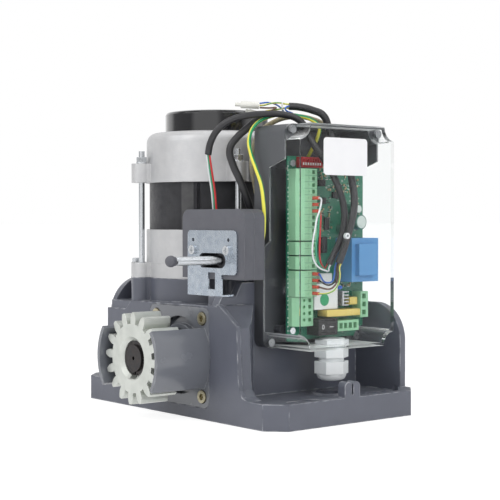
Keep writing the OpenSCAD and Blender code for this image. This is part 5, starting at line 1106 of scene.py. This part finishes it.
@dataclass
class Harness:
    """Every lead, on the route that the source gives it. Points are in millimetres."""

    motor: Route = (
        (28, -13.8, 133), (34, -14.3, 133), (39, -16.5, 134), (44, -21, 138), (48, -28, 148),
        (50, -34, 162), (50, -40, 176), (48, -45, 189), (45, -49, 200), (44, -51, 212),
        (48, -46, 222), (52, -42, 227), (56, -37, 232.6), (61, -32.5, 237.5), (62, -32, 238),
    )
    box: Route = (
        (72.8, -14.2, 245.8), (77, -7, 245.3), (83, 2, 242.8), (88, 8.3, 239), (90.5, 12, 229),
        (92, 14, 220), (97, 19, 208), (102, 23, 196), (104, 25, 184), (107, 24, 170),
        (108, 21, 158), (107, 17, 144), (106, 13, 132), (104, 10, 122),
    )
    earth: Route = (
        (64, 6, 194), (67, 6, 197), (72, 6, 206), (79, 6, 215), (84, 6, 222), (86, 5.5, 230),
        (83, 1, 235), (78, -7, 238), (72, -18, 239), (67, -30, 237), (64, -42, 230),
        (63, -47, 219), (65, -47, 208), (70, -46, 196), (75, -45, 184), (78, -45, 170),
        (79, -45, 155), (77, -45, 140), (71, -45, 126), (63, -45, 115), (57, -45, 110),
    )
    sleeve: Route = (
        (84.2, 23, 194), (85.4, 22.5, 199), (87, 20.5, 210), (86, 18.5, 222), (83, 15, 231),
        (76, 5, 237), (68, -8, 238), (60, -19, 234), (53, -27, 226), (49, -31, 214),
        (48, -32, 200), (46, -27, 184), (43, -20, 167), (41, -14, 152), (39, -10, 144),
        (34, -8.2, 140), (28, -8, 140),
    )
    limit: Route = (
        (30, -62, 208), (33, -62, 217), (40, -59, 228), (50, -53, 235), (61, -45, 238),
        (70, -34, 239), (77, -23, 238.5), (83, -14, 235), (86, -9, 229), (87, -6, 222),
        (90, -2, 213), (95, 3, 203), (99, 8, 192), (101, 13, 180), (102, 17, 167),
        (102, 17.5, 154), (101, 15, 141), (98, 11, 130), (96, 7, 121),
    )
    hands: tuple[Route, ...] = (
        (
            (100.04, -7.5, 98.45), (100.8, -7.5, 98.45), (105.5, -6.5, 98.6),
            (108.8, -3, 99.8), (109, 2, 102.5), (108.9, 5.5, 107.5), (107.9, 7.6, 113),
            (105.79, 9.15, 118.71), (106.35, 10, 121.53),
        ),
        (
            (100.04, -7.5, 103.53), (100.8, -7.5, 103.53), (104.5, -7, 102.8),
            (106.8, -3, 102.2), (107, 2, 104), (106.9, 5.8, 108.5), (106, 7.6, 113.3),
            (104.22, 9.15, 119.02), (104.8, 10, 121.84),
        ),
        (
            (100.04, -7.5, 108.61), (100.8, -7.5, 108.61), (103, -7.5, 107.8),
            (104.8, -4, 105.6), (105, 1, 105.6), (104.9, 5.5, 108.5), (103.9, 7.6, 113.5),
            (102.66, 9.15, 119.34), (103.2, 10, 122.16),
        ),
        (
            (100.04, -7.5, 113.69), (100.8, -7.5, 113.69), (102.5, -8, 112.5),
            (103, -5.5, 108.6), (103, -1, 106.9), (103, 4, 108), (102, 7.2, 113),
            (101.09, 9.15, 119.65), (101.65, 10, 122.47),
        ),
        (
            (100.04, -7.5, 162.92), (100.8, -7.5, 162.92), (102, -7.5, 160.5),
            (103, -8.5, 152), (103, -9.2, 139), (102.5, -9, 131), (101, -7, 124.5),
            (98, -1.5, 119.6), (95, 3.6, 117.6), (93.74, 5.81, 118.68), (94.34, 7, 121.37),
        ),
        (
            (100.04, -7.5, 168), (100.8, -7.5, 168), (102.5, -8.5, 167), (104.5, -11, 161),
            (105, -13, 146), (105, -15, 134), (104.6, -14, 127), (103, -8.5, 120.4),
            (100, -1.5, 117.4), (96.6, 3.6, 116.6), (95.4, 5.81, 118.31), (96, 7, 121),
        ),
        (
            (100.04, -7.5, 173.08), (100.8, -7.5, 173.08), (103, -8, 172.5),
            (106, -10.5, 169.5), (107, -13, 164), (107, -16, 157), (107.3, -18.4, 148),
            (107.3, -20.4, 139), (107, -20.4, 129.5), (106, -17, 123), (104.5, -10.5, 118.6),
            (102.5, -3, 116.6), (100.2, 2.2, 115.8), (98.2, 4.8, 116.2), (97.06, 5.81, 117.94),
            (97.66, 7, 120.63),
        ),
    )
    caps: tuple[Route, ...] = (
        (
            (46.8, -48, 247.2), (49.2, -44.8, 247), (49.7, -44.2, 247), (58.3, -33, 246.4),
            (58.55, -32.7, 246.4), (60.5, -30.2, 246.6), (64.4, -25.1, 248.2),
            (68.5, -19.8, 248.4), (71.3, -16.8, 247.6), (72.8, -14.2, 247.4),
        ),
        (
            (49.9, -39.9, 242.7), (51.4, -38, 242), (51.9, -37.4, 241.8), (56, -32, 240),
            (56.24, -31.7, 239.9), (58.5, -29.2, 239.6), (61.5, -26.6, 239.8),
            (64.5, -25.6, 240.6), (66.3, -27, 240.8), (65.8, -28.8, 240.1), (64, -29.6, 239.3),
            (61.37, -30.64, 238.02),
        ),
    )
    loops: tuple[Route, ...] = (
        (
            (62.71, -33.32, 238.02), (65.1, -32.1, 239.2), (68, -29.8, 241.4),
            (69.3, -26, 243.6), (67.2, -23.3, 244.7), (64.2, -25.6, 244.5),
            (61.2, -29.3, 244.5), (58.57, -32.64, 244.7),
        ),
        (
            (72.7, -14.37, 244.2), (71.3, -16.8, 244.4), (68, -21, 243.4),
            (64.5, -24.6, 242.9), (61, -27.6, 242.2), (58.6, -28.9, 241.5),
            (56.5, -31.3, 241.5),
        ),
    )
    core: Route = ((30, -62, 207.7), (30.5, -60, 194), (31, -57.5, 178), (31, -56, 163.4))
    core_fan: Route = ((0.5, 0.3, 0), (1, 0, 0), (1, 0, 0), (1, 0, 0))
    tail: Route = (
        (74.15, -15.05, 245.8), (73.2, -17, 245.2), (73, -18.3, 243.6), (73.6, -16.5, 241.6),
        (73.6, -13, 240.9), (73.5, -10.4, 239.6), (73.3, -11.2, 237), (71.8, -13.6, 237.2),
        (69.5, -16, 241), (66, -19.5, 246.3), (62.6, -26.2, 248.7), (58.55, -32.65, 248.1)
    )
    tie: Point = (69.9, -18.9, 246)
    tie_across: tuple[float, float] = (0.79, -0.61)
    tie_knots: int = 12
    tie_reach: tuple[float, float] = (1.4, 3.2)
    cap_widths: tuple[tuple[float, ...], ...] = ((3, 3, 5.6, 5.6), (2.6, 2.6, 4, 4))
    sheath_width: float = 6
    limit_width: float = 5.5
    earth_width: float = 3
    sleeve_width: float = 4
    core_width: float = 1.6
    lead_width: float = 1.35

    def sheaths(self) -> None:
        """Lays the two black sheaths, the limit cable, the earth lead and the woven sleeve."""
        cable = ("motor_cable",)
        for name, route in (("motor_sheath", self.motor), ("box_sheath", self.box)):
            Bench.dress(Bench.tube(name, route, self.sheath_width), Finishes.SHEATH, Body.FRAME, cable)
        limit = Bench.tube("limit_sheath", self.limit, self.limit_width)
        Bench.dress(limit, Finishes.SHEATH, Body.FRAME, ("limit_cable",))
        earth = Bench.tube("earth_lead", self.earth, self.earth_width)
        Bench.dress(earth, Finishes.EARTH, Body.FRAME, ("earth_wire",))
        sleeve = Bench.tube("woven_sleeve", self.sleeve, self.sleeve_width, 8)
        Bench.dress(sleeve, Finishes.SLEEVE, Body.FRAME, ("sleeved_lead",))

    def cores(self) -> None:
        """Fans the three cores of the limit cable down into the switch case."""
        colours = ((-2, Finishes.WHITE), (0, Finishes.GREEN), (2, Finishes.RED))
        for number, (spread, finish) in enumerate(colours):
            route = [tuple(Vector(p) + spread * Vector(f)) for p, f in zip(self.core, self.core_fan)]
            core = Bench.tube(f"limit_core_{number}", route, self.core_width, 4)
            Bench.dress(core, finish, Body.FRAME, ("limit_cable",))

    def hand_leads(self) -> None:
        """Lays the seven thin leads from the ferrules to their sheaths."""
        colours = (Finishes.THIN_EARTH, Finishes.BROWN, Finishes.BLACK_LEAD, Finishes.BLUE_LEAD,
                   Finishes.RED, Finishes.GREEN, Finishes.WHITE)
        for number, (route, finish) in enumerate(zip(self.hands, colours)):
            lead = Bench.tube(f"hand_lead_{number}", route, self.lead_width, 4)
            Bench.dress(lead, finish, Body.FRAME, ("control_leads",))

    def crimps(self) -> None:
        """Builds the two crimp caps with the leads that meet in them, and the cable tie."""
        solid = ("crimp_caps",)
        tails = (Finishes.THIN_EARTH, Finishes.RED)
        for number, (route, widths, finish) in enumerate(zip(self.caps, self.cap_widths, tails)):
            cap = Bench.tube(f"crimp_cap_{number}", route[:4], 1, 8, widths)
            Bench.dress(cap, Finishes.CRIMP, Body.FRAME, solid)
            lead = Bench.tube(f"crimp_lead_{number}", route[4:], self.lead_width, 4)
            Bench.dress(lead, finish, Body.FRAME, solid)
        for number, (route, finish) in enumerate(zip(self.loops, (Finishes.BROWN, Finishes.THIN_EARTH))):
            loop = Bench.tube(f"loop_lead_{number}", route, self.lead_width, 4)
            Bench.dress(loop, finish, Body.FRAME, solid)
        tail = Bench.tube("blue_tail", self.tail, self.lead_width, 4)
        Bench.dress(tail, Finishes.BLUE_LEAD, Body.FRAME, solid)
        across, up = self.tie_reach
        x, y, z = self.tie
        ring = []
        way_x, way_y = self.tie_across
        for knot in range(self.tie_knots + 1):
            angle = math.tau * knot / self.tie_knots
            side = across * math.cos(angle)
            ring.append((x + way_x * side, y + way_y * side, z + up * math.sin(angle)))
        Bench.dress(Bench.tube("cable_tie", ring, 1, 4), Finishes.WHITE, Body.FRAME, solid)

    def build(self) -> None:
        """Lays every lead."""
        self.sheaths()
        self.cores()
        self.hand_leads()
        self.crimps()


def dress_frame() -> None:
    """Gives every solid of the frame its finish."""
    for name, finish in NODE_FINISHES.items():
        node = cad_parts[name]
        node.data.materials.clear()
        node.data.materials.append(finish.build())
        log.info("%s: %s", name, finish.name)


def main() -> None:
    """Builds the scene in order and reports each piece."""
    logging.basicConfig(level=logging.INFO, format="%(message)s")
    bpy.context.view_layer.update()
    Studio().build()
    Harness().build()
    dress_frame()
    Motor().build()
    LimitSwitch().build()
    ControlBox().build()


if __name__ == "__main__":
    main()
